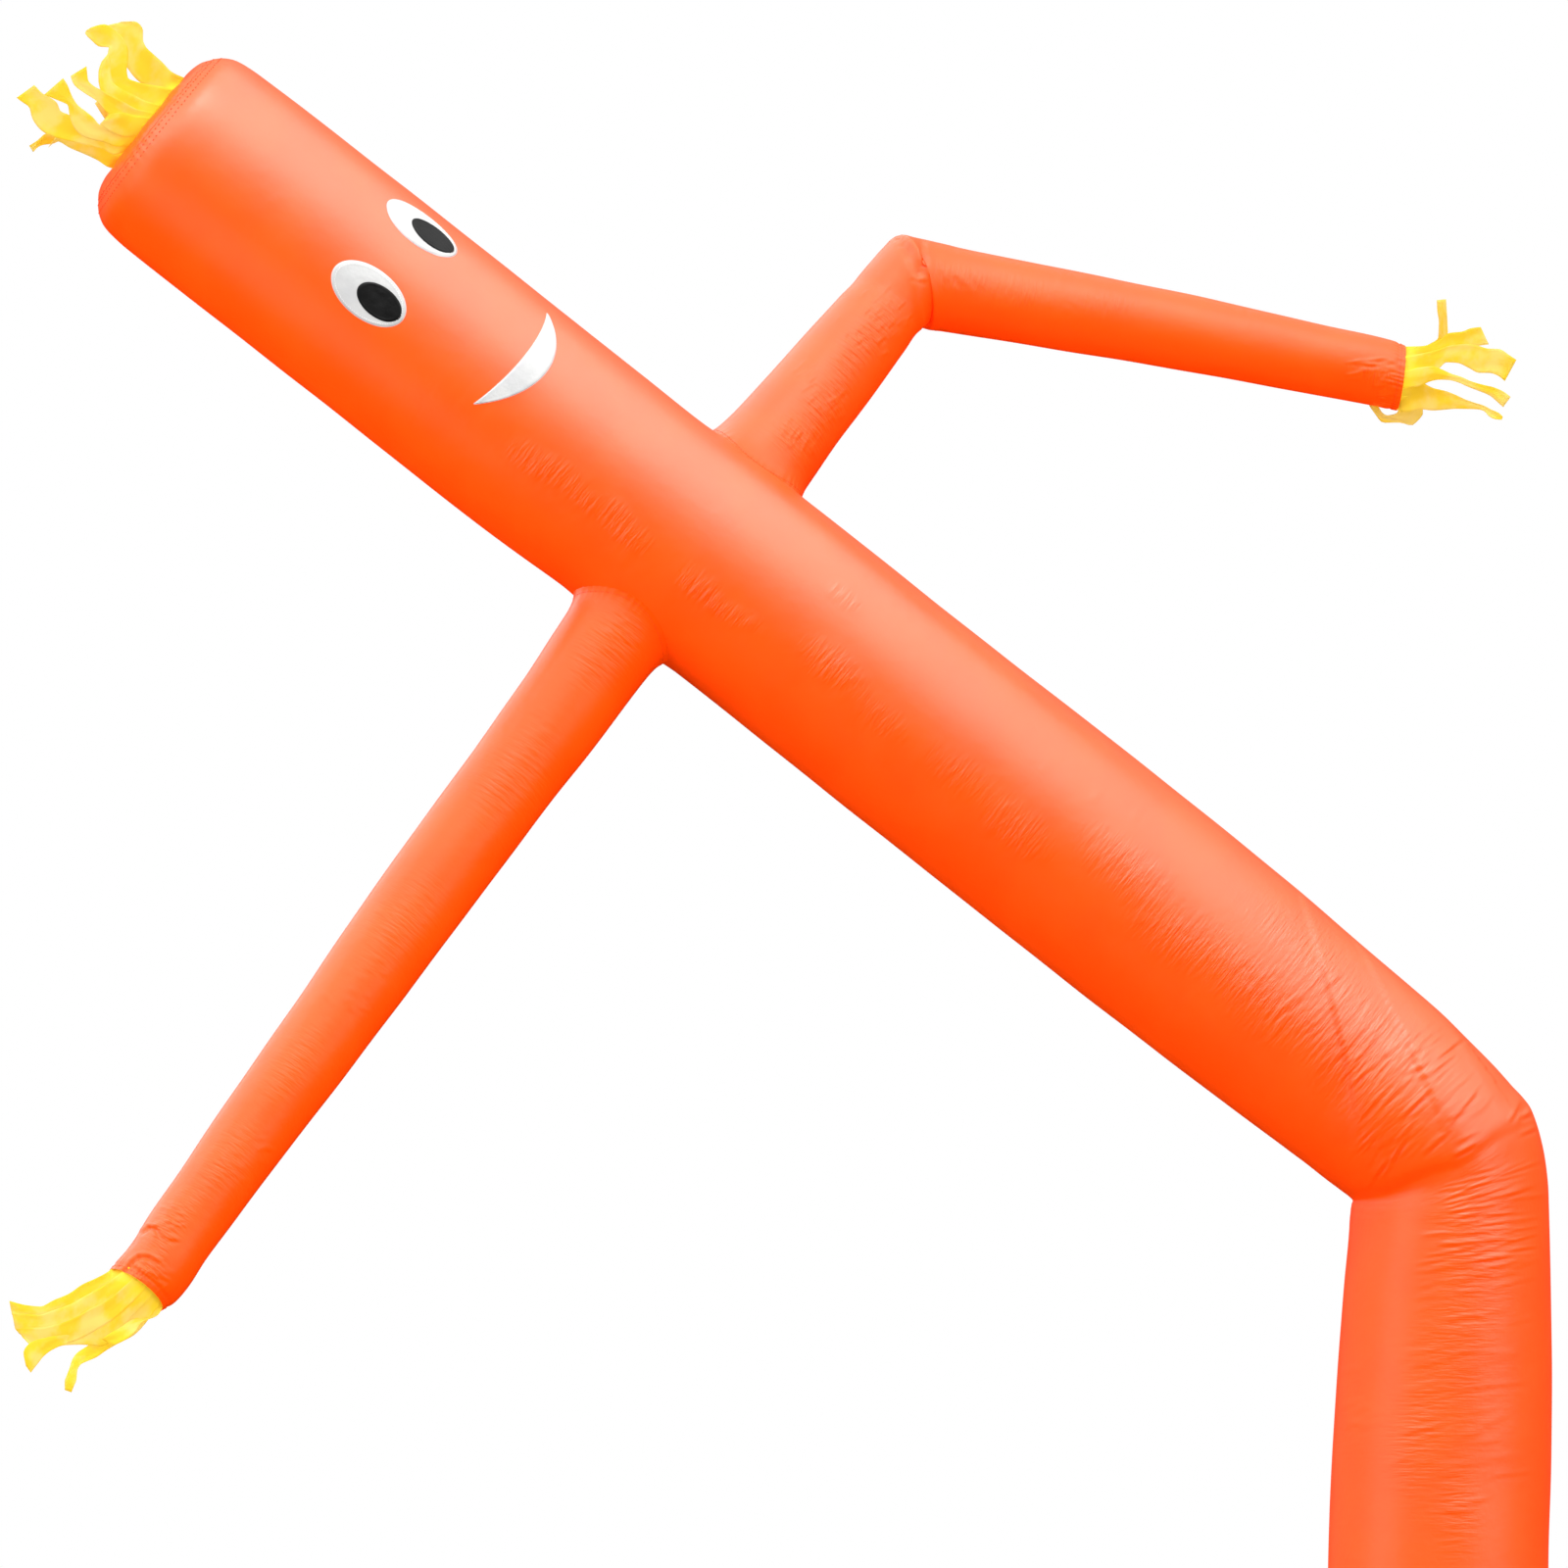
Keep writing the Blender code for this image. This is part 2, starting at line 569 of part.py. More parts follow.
def build():
    clear_scene()
    cloth = make_materials()

    body = body_sections()
    left_arm = arm_sections(LEFT_ARM_SECTIONS)
    right_arm = arm_sections(RIGHT_ARM_SECTIONS, pinch_row=ELBOW_ROW)

    torso = body[-len(TORSO_SECTIONS):]
    near_arms = [torso[row] for row, (station, _, _) in enumerate(TORSO_SECTIONS)
                 if ARM_STRETCH[0] < station < ARM_STRETCH[1]]
    torso_plug = add_object("torso_plug", tube_solid(near_arms, BODY_SIDES, -GAP))
    body_tube = add_object("body_tube", tube_shell(body, BODY_SIDES), cloth["orange_cloth"])
    for name, arm in (("arm_left", left_arm), ("arm_right", right_arm)):
        bore = add_object(name + "_bore", tube_solid(arm[:ARM_BORE_ROWS], ARM_SIDES, CLOTH))
        cut(body_tube, bore)
        sleeve = add_object(name, tube_shell(arm, ARM_SIDES), cloth["orange_cloth"])
        cut(sleeve, torso_plug)

    add_object("head_cap", cap_shell(), cloth["orange_cloth"])
    hair = fringe(HEAD_END, -TORSO_ACROSS, FRONT, -TORSO_DOWN, HAIR_BAND_RADIUS, HAIR_SEATS, HAIR)
    add_object("hair_fringe", hair, cloth["yellow_cloth"])
    add_object("hand_fringe_left", hand_fringe(left_arm, LEFT_HAND), cloth["yellow_cloth"])
    add_object("hand_fringe_right", hand_fringe(right_arm, RIGHT_HAND), cloth["yellow_cloth"])

    pupil_rise = PATCH_RISE + PATCH + GAP
    for side, turn in (("left", FACE_TURN - EYE_SPREAD), ("right", FACE_TURN + EYE_SPREAD)):
        white = oval_strips(EYE_STATION, turn, EYE_LENGTH, EYE_WIDTH)
        pupil = oval_strips(PUPIL_STATION, turn, PUPIL_LENGTH, PUPIL_WIDTH)
        add_object("eye_" + side, patch_shell(white, PATCH_RISE), cloth["white_cloth"])
        add_object("pupil_" + side, patch_shell(pupil, pupil_rise), cloth["black_cloth"])
    add_object("mouth", patch_shell(crescent_strips(), PATCH_RISE), cloth["white_cloth"])


build()
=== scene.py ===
import math

import bpy
import numpy as np
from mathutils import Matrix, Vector


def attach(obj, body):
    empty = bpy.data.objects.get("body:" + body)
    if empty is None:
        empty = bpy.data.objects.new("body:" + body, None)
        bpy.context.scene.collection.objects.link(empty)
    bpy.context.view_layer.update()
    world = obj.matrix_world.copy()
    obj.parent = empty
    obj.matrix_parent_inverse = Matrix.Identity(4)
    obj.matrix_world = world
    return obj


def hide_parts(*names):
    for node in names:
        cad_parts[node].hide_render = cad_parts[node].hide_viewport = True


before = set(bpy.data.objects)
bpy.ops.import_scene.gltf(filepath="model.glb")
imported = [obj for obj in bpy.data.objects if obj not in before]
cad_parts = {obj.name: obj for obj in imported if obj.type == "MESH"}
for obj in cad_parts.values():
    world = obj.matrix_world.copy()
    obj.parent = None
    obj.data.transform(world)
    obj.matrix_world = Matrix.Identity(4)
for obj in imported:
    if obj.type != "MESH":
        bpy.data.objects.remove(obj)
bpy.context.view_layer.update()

# Inflatable air dancer: the cloth tubes, the sewn face and the streamers, dressed over the frame.
# Metres, +Z up, seen from -Y. Figures given as "right, down" are in drawing units, counted from
# the drawing's own corner, because the creases and the streamers were laid out on a front drawing.
drawing = {"unit": 0.001375, "zeroRight": 1467, "zeroDown": 1705,
           "middle": (-0.917, 1.244), "distance": 40.0}
rng = np.random.default_rng(7)


def place(right, down, depth):  # from the drawing to the world, at that depth
    x = (np.asarray(right, float) - drawing["zeroRight"]) * drawing["unit"]
    z = (drawing["zeroDown"] - np.asarray(down, float)) * drawing["unit"]
    grow = (drawing["distance"] + np.asarray(depth, float)) / drawing["distance"]
    middleX, middleZ = drawing["middle"]
    x, z = middleX + (x - middleX) * grow, middleZ + (z - middleZ) * grow
    return np.stack(np.broadcast_arrays(x, depth, z), axis=-1)


def onDrawing(points):  # from the world to the drawing
    shrink = drawing["distance"] / (drawing["distance"] + points[..., 1])
    middleX, middleZ = drawing["middle"]
    x = middleX + (points[..., 0] - middleX) * shrink
    z = middleZ + (points[..., 2] - middleZ) * shrink
    return np.stack((drawing["zeroRight"] + x / drawing["unit"],
                     drawing["zeroDown"] - z / drawing["unit"]), axis=-1)


def ease(share):
    share = np.clip(share, 0.0, 1.0)
    return share * share * (3 - 2 * share)


def unit(vectors):
    return vectors / np.maximum(np.linalg.norm(vectors, axis=-1, keepdims=True), 1e-12)


def flow(knots, rows, at):  # one smooth curve through the rows, which never swings past them
    knots, rows, at = (np.asarray(v, float) for v in (knots, rows, at))
    gaps = np.diff(knots)[:, None]
    slopes = np.diff(rows, axis=0) / gaps
    product, total = slopes[:-1] * slopes[1:], slopes[:-1] + slopes[1:]
    middle = np.where(product > 0, 2 * product / np.where(product > 0, total, 1), 0)
    tangents = np.vstack([slopes[:1], middle, slopes[-1:]])
    spot = np.clip(np.searchsorted(knots, at, side="right") - 1, 0, len(knots) - 2)
    gap = gaps[spot]
    t = (at - knots[spot])[:, None] / gap
    return (rows[spot] * (2 * t**3 - 3 * t**2 + 1) + tangents[spot] * gap * (t**3 - 2 * t**2 + t)
            + rows[spot + 1] * (3 * t**2 - 2 * t**3) + tangents[spot + 1] * gap * (t**3 - t**2))


# ---- camera, light and floor

view = {"sensorWidth": 36.0, "frameWidth": 2.2, "clipEnd": 200.0}
camera = bpy.data.objects.new("camera", bpy.data.cameras.new("camera"))
camera.data.lens = view["sensorWidth"] * drawing["distance"] / view["frameWidth"]
camera.data.clip_end = view["clipEnd"]
camera.location = (drawing["middle"][0], -drawing["distance"], drawing["middle"][1])
camera.rotation_euler = (math.radians(90), 0, 0)
bpy.context.scene.collection.objects.link(camera)
bpy.context.scene.camera = camera

lights = {  # where each soft light comes from, its strength, its width and whether it glints
    "overhead": ((0.10, -0.35, 0.93), 0.8, 30, True),
    "topFill": ((0.05, -0.30, 0.95), 2.0, 90, False),
    "belowFill": ((-0.10, -0.35, -0.93), 2.2, 90, False),
    "rightFill": ((0.85, -0.50, 0.05), 1.8, 60, False),
    "leftFill": ((-0.92, -0.35, 0.18), 2.4, 60, False),
    "armSheen": ((-0.52, 0.46, 0.72), 2.6, 80, True),
    "rightArmFill": ((0.30, -0.25, -0.92), 1.1, 60, False),
    "streamerFill": ((0.05, -0.98, -0.15), 1.25, 60, False),
    "backFill": ((0.0, 1.0, 0.05), 1.5, 50, False),
}
for name, (source, strength, width, glints) in lights.items():
    lamp = bpy.data.objects.new(name, bpy.data.lights.new(name, "SUN"))
    lamp.data.energy = strength
    lamp.data.angle = math.radians(width)
    lamp.rotation_euler = Vector(source).to_track_quat("Z", "Y").to_euler()
    lamp.visible_glossy = lamp.data.cycles.use_multiple_importance_sampling = glints
    bpy.context.scene.collection.objects.link(lamp)

# some lamps shine only on the pieces in a collection
headPieces, armPieces, rightArmPieces, streamerPieces = (
    bpy.data.collections.new(name)
    for name in ("headPieces", "armPieces", "rightArmPieces", "streamerPieces"))
for name, pieces in (("armSheen", armPieces), ("rightArmFill", rightArmPieces),
                     ("streamerFill", streamerPieces)):
    bpy.data.objects[name].light_linking.receiver_collection = pieces
bpy.data.objects["armSheen"].visible_diffuse = False
headLamps = {  # place, aim, size, power, and whether it glints or fills
    "headBox": ((-0.80, -0.20, 3.20), (-1.45, -0.05, 1.95), 2.2, 20.0, True),
    "headFill": ((-2.20, -0.80, 1.35), (-1.72, -0.10, 2.02), 0.8, 5.5, False),
}
for name, (where, aim, size, power, glints) in headLamps.items():
    lamp = bpy.data.objects.new(name, bpy.data.lights.new(name, "AREA"))
    lamp.data.size = size
    lamp.data.energy = power
    lamp.location = where
    lamp.rotation_euler = (Vector(where) - Vector(aim)).to_track_quat("Z", "Y").to_euler()
    lamp.visible_camera = False
    lamp.visible_diffuse, lamp.visible_glossy = not glints, glints
    lamp.light_linking.receiver_collection = headPieces
    bpy.context.scene.collection.objects.link(lamp)


class Wire:  # one socket of a node tree, so that its sums read as sums
    def __init__(self, tree, socket=None):
        self.tree, self.socket = tree, socket

    def node(self, kind, settings=None, sockets=None, out=0):
        made = self.tree.nodes.new("ShaderNode" + kind)
        for name, value in (settings or {}).items():
            setattr(made, name, value)
        for name, value in (sockets or {}).items():
            if isinstance(value, Wire):
                self.tree.links.new(value.socket, made.inputs[name])
            else:
                made.inputs[name].default_value = value
        return Wire(self.tree, made.outputs[out])

    def math(self, how, first, second=0.0):
        return self.node("Math", {"operation": how}, {0: first, 1: second})

    def __add__(self, other):
        return self.math("ADD", self, other)

    __radd__ = __add__

    def __sub__(self, other):
        return self.math("SUBTRACT", self, other)

    def __rsub__(self, other):
        return self.math("SUBTRACT", other, self)

    def __mul__(self, other):
        return self.math("MULTIPLY", self, other)

    __rmul__ = __mul__


room = bpy.data.worlds.new("room")  # a white studio, brighter overhead, with three soft boxes
bpy.context.scene.world = room
room.use_nodes = True
air = Wire(room.node_tree)
towards = air.node("TexCoord")
upward = air.node("SeparateXYZ", {}, {"Vector": towards}, out=2)
backward = air.node("SeparateXYZ", {}, {"Vector": towards}, out=1)


def between(value, low, high, start=0.0, end=1.0):
    return air.node("MapRange", {"interpolation_type": "SMOOTHSTEP"}, {
        "Value": value, "From Min": low, "From Max": high, "To Min": start, "To Max": end})


ceiling = between(upward, 0.12, 0.68, 0.01, 2.4) - between(upward, 0.80, 0.98, 0.0, 0.9)
ceiling = ceiling + between(upward, -0.18, 0.04, 0.0, 0.28)
ceiling = ceiling * between(backward, -0.1, 0.7, 1.0, 0.28)
softBoxes = {  # which way it lies, where its edge starts, its glow, and the height of its foot
    "leftBox": ((-0.87, -0.46, -0.12), 0.90, 1.0, -0.50),
    "rightBox": ((0.80, -0.60, 0.08), 0.91, 1.45, 0.0),
    "backBox": ((-0.89, 0.45, 0.00), 0.70, 0.22, -0.20),
}
for boxAt, boxEdge, boxGlow, boxFoot in softBoxes.values():
    boxDot = air.node("VectorMath", {"operation": "DOT_PRODUCT"}, {0: towards, 1: boxAt}, out=1)
    boxLight = between(boxDot, boxEdge, 0.98, 0.0, boxGlow)
    ceiling = ceiling + boxLight * between(upward, boxFoot - 0.12, boxFoot + 0.02)
seen = air.node("LightPath")  # plain white to the camera
air.tree.links.new((seen + (1 - seen) * ceiling).socket,
                   room.node_tree.nodes["Background"].inputs["Strength"])
room.node_tree.nodes["Background"].inputs["Color"].default_value = (1, 1, 1, 1)
bpy.context.scene.view_settings.view_transform = "Standard"
bpy.context.scene.view_settings.look = "None"
print("camera and lights are set")


# ---- cloth finishes

def blankFinish(name):
    material = bpy.data.materials.new(name)
    material.use_nodes = True
    tree = material.node_tree
    return material, Wire(tree), tree.nodes["Principled BSDF"]


def clothFinish(name, look, spots=()):
    material, wire, shader = blankFinish(name)
    around = wire.node("UVMap", {"uv_map": "cloth"})  # metres across and along the cloth

    def grain(scale, stretch=(1, 1, 1), detail=2.0, roughness=0.5):
        turned = wire.node("Mapping", {}, {"Vector": around, "Scale": stretch})
        return wire.node("TexNoise", {"noise_dimensions": "2D"}, {
            "Vector": turned, "Scale": scale, "Detail": detail, "Roughness": roughness})

    def within(value, low, high):
        return wire.node("MapRange", {"interpolation_type": "SMOOTHSTEP"}, {
            "Value": value, "From Min": low, "From Max": high})

    patches = within(grain(look["patchScale"], detail=3.0), 0.35, 0.65)
    warm = wire.node("Mix", {"data_type": "RGBA"}, {
        "Factor": patches, "A": (*look["deep"], 1), "B": (*look["pale"], 1)}, out=2)
    if look["paintedLightReach"]:  # painted light: the cloth is made paler near where it is sewn in, to lift the shade that the head and the cuffs throw there
        fromRoot = wire.node("SeparateXYZ", {}, {"Vector": around}, out=1)
        paintedLightShare = within(fromRoot, look["paintedLightReach"], 0.0)
        warm = wire.node("Mix", {"data_type": "RGBA"}, {
            "Factor": paintedLightShare, "A": warm, "B": (*look["paintedLightColour"], 1)}, out=2)
    wire.tree.links.new(warm.socket, shader.inputs["Base Color"])
    rubbed = grain(30.0, detail=3.0) * look["roughnessSwing"] + (
        look["roughness"] - look["roughnessSwing"] / 2)
    wire.tree.links.new(rubbed.socket, shader.inputs["Roughness"])

    # fine gathers across the tube, in clusters of their own and at the places given
    gathers = grain(1.0, look["gatherStretch"], 3.0, 0.55)
    clusters = within(grain(1.0, look["clusterStretch"]), 0.54, 0.70) * look["clusterShare"]
    drawn = wire.node("VectorMath", {"operation": "MULTIPLY"}, {0: around, 1: (1, 0.5, 1)})
    for u, v, reach, strength in spots:
        away = wire.node("VectorMath", {"operation": "DISTANCE"}, {
            0: drawn, 1: (u, v * 0.5, 0)}, out=1)
        clusters = clusters + wire.node("MapRange", {"interpolation_type": "SMOOTHSTEP"}, {
            "Value": away, "From Min": reach, "From Max": 0.0, "To Max": strength})
    crumple = grain(look["crumpleScale"], detail=3.0, roughness=0.6)
    threads = [wire.node("TexWave", {"bands_direction": direction}, {
        "Vector": around, "Scale": look["threadsPerMetre"] / 6.2832}) for direction in ("X", "Y")]
    height = (gathers * clusters * look["gatherHeight"] + crumple * look["crumpleHeight"]
              + (threads[0] + threads[1]) * look["weaveHeight"])
    bump = wire.node("Bump", {}, {"Height": height, "Distance": 1.0, "Strength": 1.0})
    wire.tree.links.new(bump.socket, shader.inputs["Normal"])
    shader.inputs["Specular IOR Level"].default_value = look["gloss"]
    if look["glow"]:  # thin cloth lets some light through
        through = wire.node("BsdfTranslucent", {}, {"Color": warm, "Normal": bump})
        output = wire.tree.nodes["Material Output"]
        both = wire.node("MixShader", {}, {0: look["glow"], 2: through})
        wire.tree.links.new(shader.outputs["BSDF"], both.socket.node.inputs[1])
        wire.tree.links.new(both.socket, output.inputs["Surface"])
    return material


wovenLook = {"threadsPerMetre": 1400, "weaveHeight": 0.00001, "glow": 0.0, "paintedLightReach": 0.0}
orangeLook = {**wovenLook, "deep": (0.95, 0.058, 0.0006), "pale": (0.98, 0.063, 0.0010),
              "patchScale": 9.0, "roughness": 0.38, "roughnessSwing": 0.08,
              "gatherStretch": (24, 165, 1), "clusterStretch": (9, 5, 1), "clusterShare": 0.07,
              "gatherHeight": 0.0036, "crumpleScale": 55.0, "crumpleHeight": 0.0004,
              "gloss": 0.85}
# the root colour of the streamers is painted light: a paler yellow near their sewn-in roots lifts
# the shade there
yellowLook = {**wovenLook, "deep": (0.57, 0.392, 0.021), "pale": (0.57, 0.422, 0.103),
              "patchScale": 26.0, "roughness": 0.65, "roughnessSwing": 0.10,
              "gatherStretch": (190, 20, 1), "clusterStretch": (30, 9, 1), "clusterShare": 0.6,
              "gatherHeight": 0.0008, "crumpleScale": 60.0, "crumpleHeight": 0.0002,
              "gloss": 0.12, "glow": 0.35, "paintedLightReach": 0.045,
              "paintedLightColour": (0.66, 0.50, 0.024)}
whiteLook = {**wovenLook, "deep": (0.37, 0.37, 0.37), "pale": (0.41, 0.41, 0.405),
             "patchScale": 20.0, "roughness": 0.55, "roughnessSwing": 0.10,
             "gatherStretch": (40, 90, 1), "clusterStretch": (18, 18, 1), "clusterShare": 0.5,
             "gatherHeight": 0.0020, "crumpleScale": 70.0, "crumpleHeight": 0.0008,
             "gloss": 0.4}
blackLook = {**whiteLook, "deep": (0.002, 0.002, 0.002), "pale": (0.005, 0.005, 0.005),
             "roughness": 0.45, "gloss": 0.22}
yellowNylon = clothFinish("yellowNylon", yellowLook)
whiteNylon = clothFinish("whiteNylon", whiteLook)
blackNylon = clothFinish("blackNylon", blackLook)


def threadFinish(name, colour):
    material, wire, shader = blankFinish(name)
    around = wire.node("TexCoord", {}, {}, out=3)
    fibres = wire.node("TexNoise", {}, {"Vector": around, "Scale": 900.0, "Detail": 2.0})
    tint = wire.node("Mix", {"data_type": "RGBA"}, {
        "Factor": fibres, "A": (*[c * 0.85 for c in colour], 1), "B": (*colour, 1)}, out=2)
    wire.tree.links.new(tint.socket, shader.inputs["Base Color"])
    bump = wire.node("Bump", {}, {"Height": fibres * 0.0001, "Distance": 1.0, "Strength": 1.0})
    wire.tree.links.new(bump.socket, shader.inputs["Normal"])
    shader.inputs["Roughness"].default_value = 0.6
    return material


orangeThread = threadFinish("orangeThread", (0.80, 0.040, 0.001))
whiteThread = threadFinish("whiteThread", (0.80, 0.79, 0.77))
print("cloth finishes are mixed")


# ---- meshes

def makePiece(name, points, faces, material, uvs=None):
    mesh = bpy.data.meshes.new(name)
    mesh.from_pydata(np.asarray(points).tolist(), [], faces)
    mesh.validate()
    if uvs is not None:
        layer = mesh.uv_layers.new(name="cloth")
        corners = np.zeros(len(mesh.loops), np.int32)
        mesh.loops.foreach_get("vertex_index", corners)
        layer.data.foreach_set("uv", np.asarray(uvs, float)[corners].ravel())
    mesh.materials.append(material)
    mesh.shade_smooth()
    piece = bpy.data.objects.new(name, mesh)
    bpy.context.scene.collection.objects.link(piece)
    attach(piece, "root")
    return piece


def gridFaces(rows, columns, closed=False):
    faces = []
    for i in range(rows - 1):
        for k in range(columns if closed else columns - 1):
            n = (k + 1) % columns
            faces.append((i * columns + k, (i + 1) * columns + k,
                          (i + 1) * columns + n, i * columns + n))
    return faces


def gridNormals(grid):  # outward where the columns run from across towards the front
    return unit(np.cross(np.gradient(grid, axis=0), np.gradient(grid, axis=1)))


# A stroke of a crease: right and down at both ends, half width, then the height in millimetres
# of its left and its right flank, looking from the first end to the second.
def creased(spots, facing, strokes, fade=0.35):
    height = np.zeros(spots.shape[:-1])
    toFront = ease(facing / fade)
    for right0, down0, right1, down1, width, leftFlank, rightFlank in strokes:
        start, run = np.array((right0, down0)), np.array((right1 - right0, down1 - down0))
        length = np.linalg.norm(run)
        run = run / length
        offset = spots - start
        t = (offset @ run) / length
        side = (offset @ np.array((run[1], -run[0]))) / width
        near = (t > -0.05) & (t < 1.05) & (np.abs(side) < 4) & (toFront > 0)
        taper = np.sin(np.pi * np.clip(t[near], 0, 1)) ** 0.6
        q = side[near]
        height[near] += taper * (leftFlank * np.exp(-(q - 0.9) ** 2)
                                 + rightFlank * np.exp(-(q + 0.9) ** 2))
    return height * toFront * 0.001


def scatter(cluster):  # a given cluster of small creases; the seed is fixed
    right, down, reachAlong, reachAcross, slope, count, length, width, height = cluster
    rows = []
    for _ in range(count):
        a, b = rng.uniform(-1, 1, 2)
        turn = math.radians(slope + rng.normal(0, 5))
        run = np.array((math.cos(turn), -math.sin(turn)))
        lie = np.array((math.cos(math.radians(slope)), -math.sin(math.radians(slope))))
        other = np.array((lie[1], -lie[0]))
        middle = np.array((right, down)) + lie * a * reachAlong + other * b * reachAcross
        size = length * rng.uniform(0.6, 1.3)
        tall = height * rng.uniform(0.5, 1.2)
        flank = rng.choice((-0.8, 0.8, 0.3))
        rows.append((*(middle - run * size / 2), *(middle + run * size / 2),
                     width * rng.uniform(0.8, 1.3), tall, tall * flank * -1))
    return rows


# ---- the body: leg, knee, torso and head are one tube

lap = {"turn": 0.075, "rise": 0.0011}  # each tube is a flat sheet, lapped and sewn at its back


def lappedTurns(sides, frontShare=0.0):
    turns = np.linspace(-np.pi / 2, 3 * np.pi / 2, sides - 1)
    turns = turns + frontShare * np.cos(turns)
    return np.append(turns, 3 * np.pi / 2 + lap["turn"])


def lapRise(angles):
    over = (angles - 3 * np.pi / 2 + lap["turn"] * 0.6) / (lap["turn"] * 0.6)
    return lap["rise"] * ease(over)[None, :]


body = {"sides": 136, "frontShare": 0.36, "depthLeg": 0.1535, "depthTorso": 0.1535,
        "slope": math.radians(38.4), "headEnd": np.array((-1.811, 0.0, 2.168)),
        "radius": 0.1543, "roundWithin": 0.6}
torsoDown = np.array((math.cos(body["slope"]), 0.0, -math.sin(body["slope"])))
torsoAcross = np.array((math.sin(body["slope"]), 0.0, math.cos(body["slope"])))
front = np.array((0.0, -1.0, 0.0))

legRows = [  # x, z, half width
    (0.0000, 0.000, 0.1547), (0.0010, 0.150, 0.1547), (0.0055, 0.296, 0.1540),
    (0.0100, 0.419, 0.1506), (0.0140, 0.543, 0.1450), (0.0166, 0.626, 0.1404)]
kneeRows = [  # x, z, half width, half depth, tilt in degrees, sag of the front and the back
    (0.0167, 0.6550, 0.1394, 0.1545, 4.9, 0.008), (0.0154, 0.6795, 0.1395, 0.155, 11.8, 0.015),
    (0.0118, 0.7023, 0.1403, 0.155, 19.5, 0.022), (0.0058, 0.7240, 0.1407, 0.156, 27.1, 0.029),
    (-0.0020, 0.7343, 0.1403, 0.157, 30.0, 0.027), (-0.0125, 0.7448, 0.1392, 0.158, 33.2, 0.021),
    (-0.0310, 0.7634, 0.1392, 0.159, 38.5, 0.012), (-0.0548, 0.7853, 0.1397, 0.159, 43.5, 0.005),
    (-0.0854, 0.8135, 0.1414, 0.158, 49.1, 0.001)]
torsoRows = [  # distance from the head's end, half width, sideways offset
    (2.1450, 0.1434, 0.0112), (2.0625, 0.1461, 0.0113), (1.9250, 0.1506, 0.0124),
    (1.7875, 0.1526, 0.0124), (1.6500, 0.1530, 0.0127), (1.3750, 0.1519, 0.0110),
    (1.0725, 0.1516, 0.0113), (0.8800, 0.1506, 0.0069), (0.6875, 0.1540, 0.0034),
    (0.4125, 0.1543, 0.0030), (0.1650, 0.1543, 0.0011), (0.0825, 0.1533, 0.0000),
    (0.0550, 0.1513, 0.0000), (0.0410, 0.1485, 0.0000), (0.0275, 0.1416, 0.0000),
    (0.0190, 0.1340, 0.0000), (0.0124, 0.1251, 0.0000)]
ringSpacing = [  # distance up the tube, and metres from one ring to the next there
    (0.00, 0.0050), (0.12, 0.0050), (0.18, 0.0037), (0.52, 0.0038), (0.60, 0.0019),
    (0.86, 0.0019), (1.00, 0.0032), (1.25, 0.0050), (1.60, 0.0064), (2.20, 0.0064),
    (2.40, 0.0056), (3.02, 0.0052), (3.10, 0.0040)]


def bodyTable():
    rows = []
    for x, z, half in legRows:
        rows.append((x, 0.0, z, half, max(half, body["depthLeg"]), 0.0, 0.0))
    for x, z, half, depth, tilt, sag in kneeRows:
        rows.append((x, 0.0, z, half, depth, tilt, sag))
    for station, half, offset in torsoRows:
        centre = body["headEnd"] + torsoDown * station + torsoAcross * offset
        depth = max(half, body["depthTorso"]) if station > body["roundWithin"] else half
        rows.append((*centre, half, depth, 90 - math.degrees(body["slope"]), 0.0))
    return np.array(rows)


def tubeRings(table, stations, angles):  # x, y, z, half, depth, tilt, sag at each knot
    knots = np.concatenate([[0], np.cumsum(np.linalg.norm(np.diff(table[:, :3], axis=0), axis=1))])
    rows = flow(knots, table, stations)
    nearby = 0.004
    ahead = flow(knots, table[:, :3], np.clip(stations + nearby, 0, knots[-1]))
    behind = flow(knots, table[:, :3], np.clip(stations - nearby, 0, knots[-1]))
    tilt = np.radians(rows[:, 5])
    across = np.stack((np.cos(tilt), 0 * tilt, np.sin(tilt)), axis=-1)
    along = ahead - behind
    along = unit(along - across * np.sum(along * across, axis=-1, keepdims=True))
    outward = np.cross(across, along)
    c, s = np.cos(angles)[None, :, None], np.sin(angles)[None, :, None]
    half, depth, sag = (rows[:, k][:, None, None] for k in (3, 4, 6))
    grid = (rows[:, None, :3] + across[:, None, :] * half * c + outward[:, None, :] * depth * s
            - along[:, None, :] * sag * s**2)
    return grid, rows


def tableLength(table):
    return np.linalg.norm(np.diff(table[:, :3], axis=0), axis=1).sum()


def spacedStations(spacing, length):
    stations = [0.0]
    distances, steps = zip(*spacing)
    while stations[-1] < length:
        stations.append(stations[-1] + float(np.interp(stations[-1], distances, steps)))
    stations = np.array(stations)
    return stations * length / stations[-1]


bodyRows = bodyTable()
bodyLength = tableLength(bodyRows)
bodyStations = spacedStations(ringSpacing, bodyLength)
bodyAngles = lappedTurns(body["sides"], body["frontShare"])  # closer together at the front
bodyGrid, bodySections = tubeRings(bodyRows, bodyStations, bodyAngles)
headStations = (bodySections[:, :3] - body["headEnd"]) @ torsoDown  # distance from the head's end

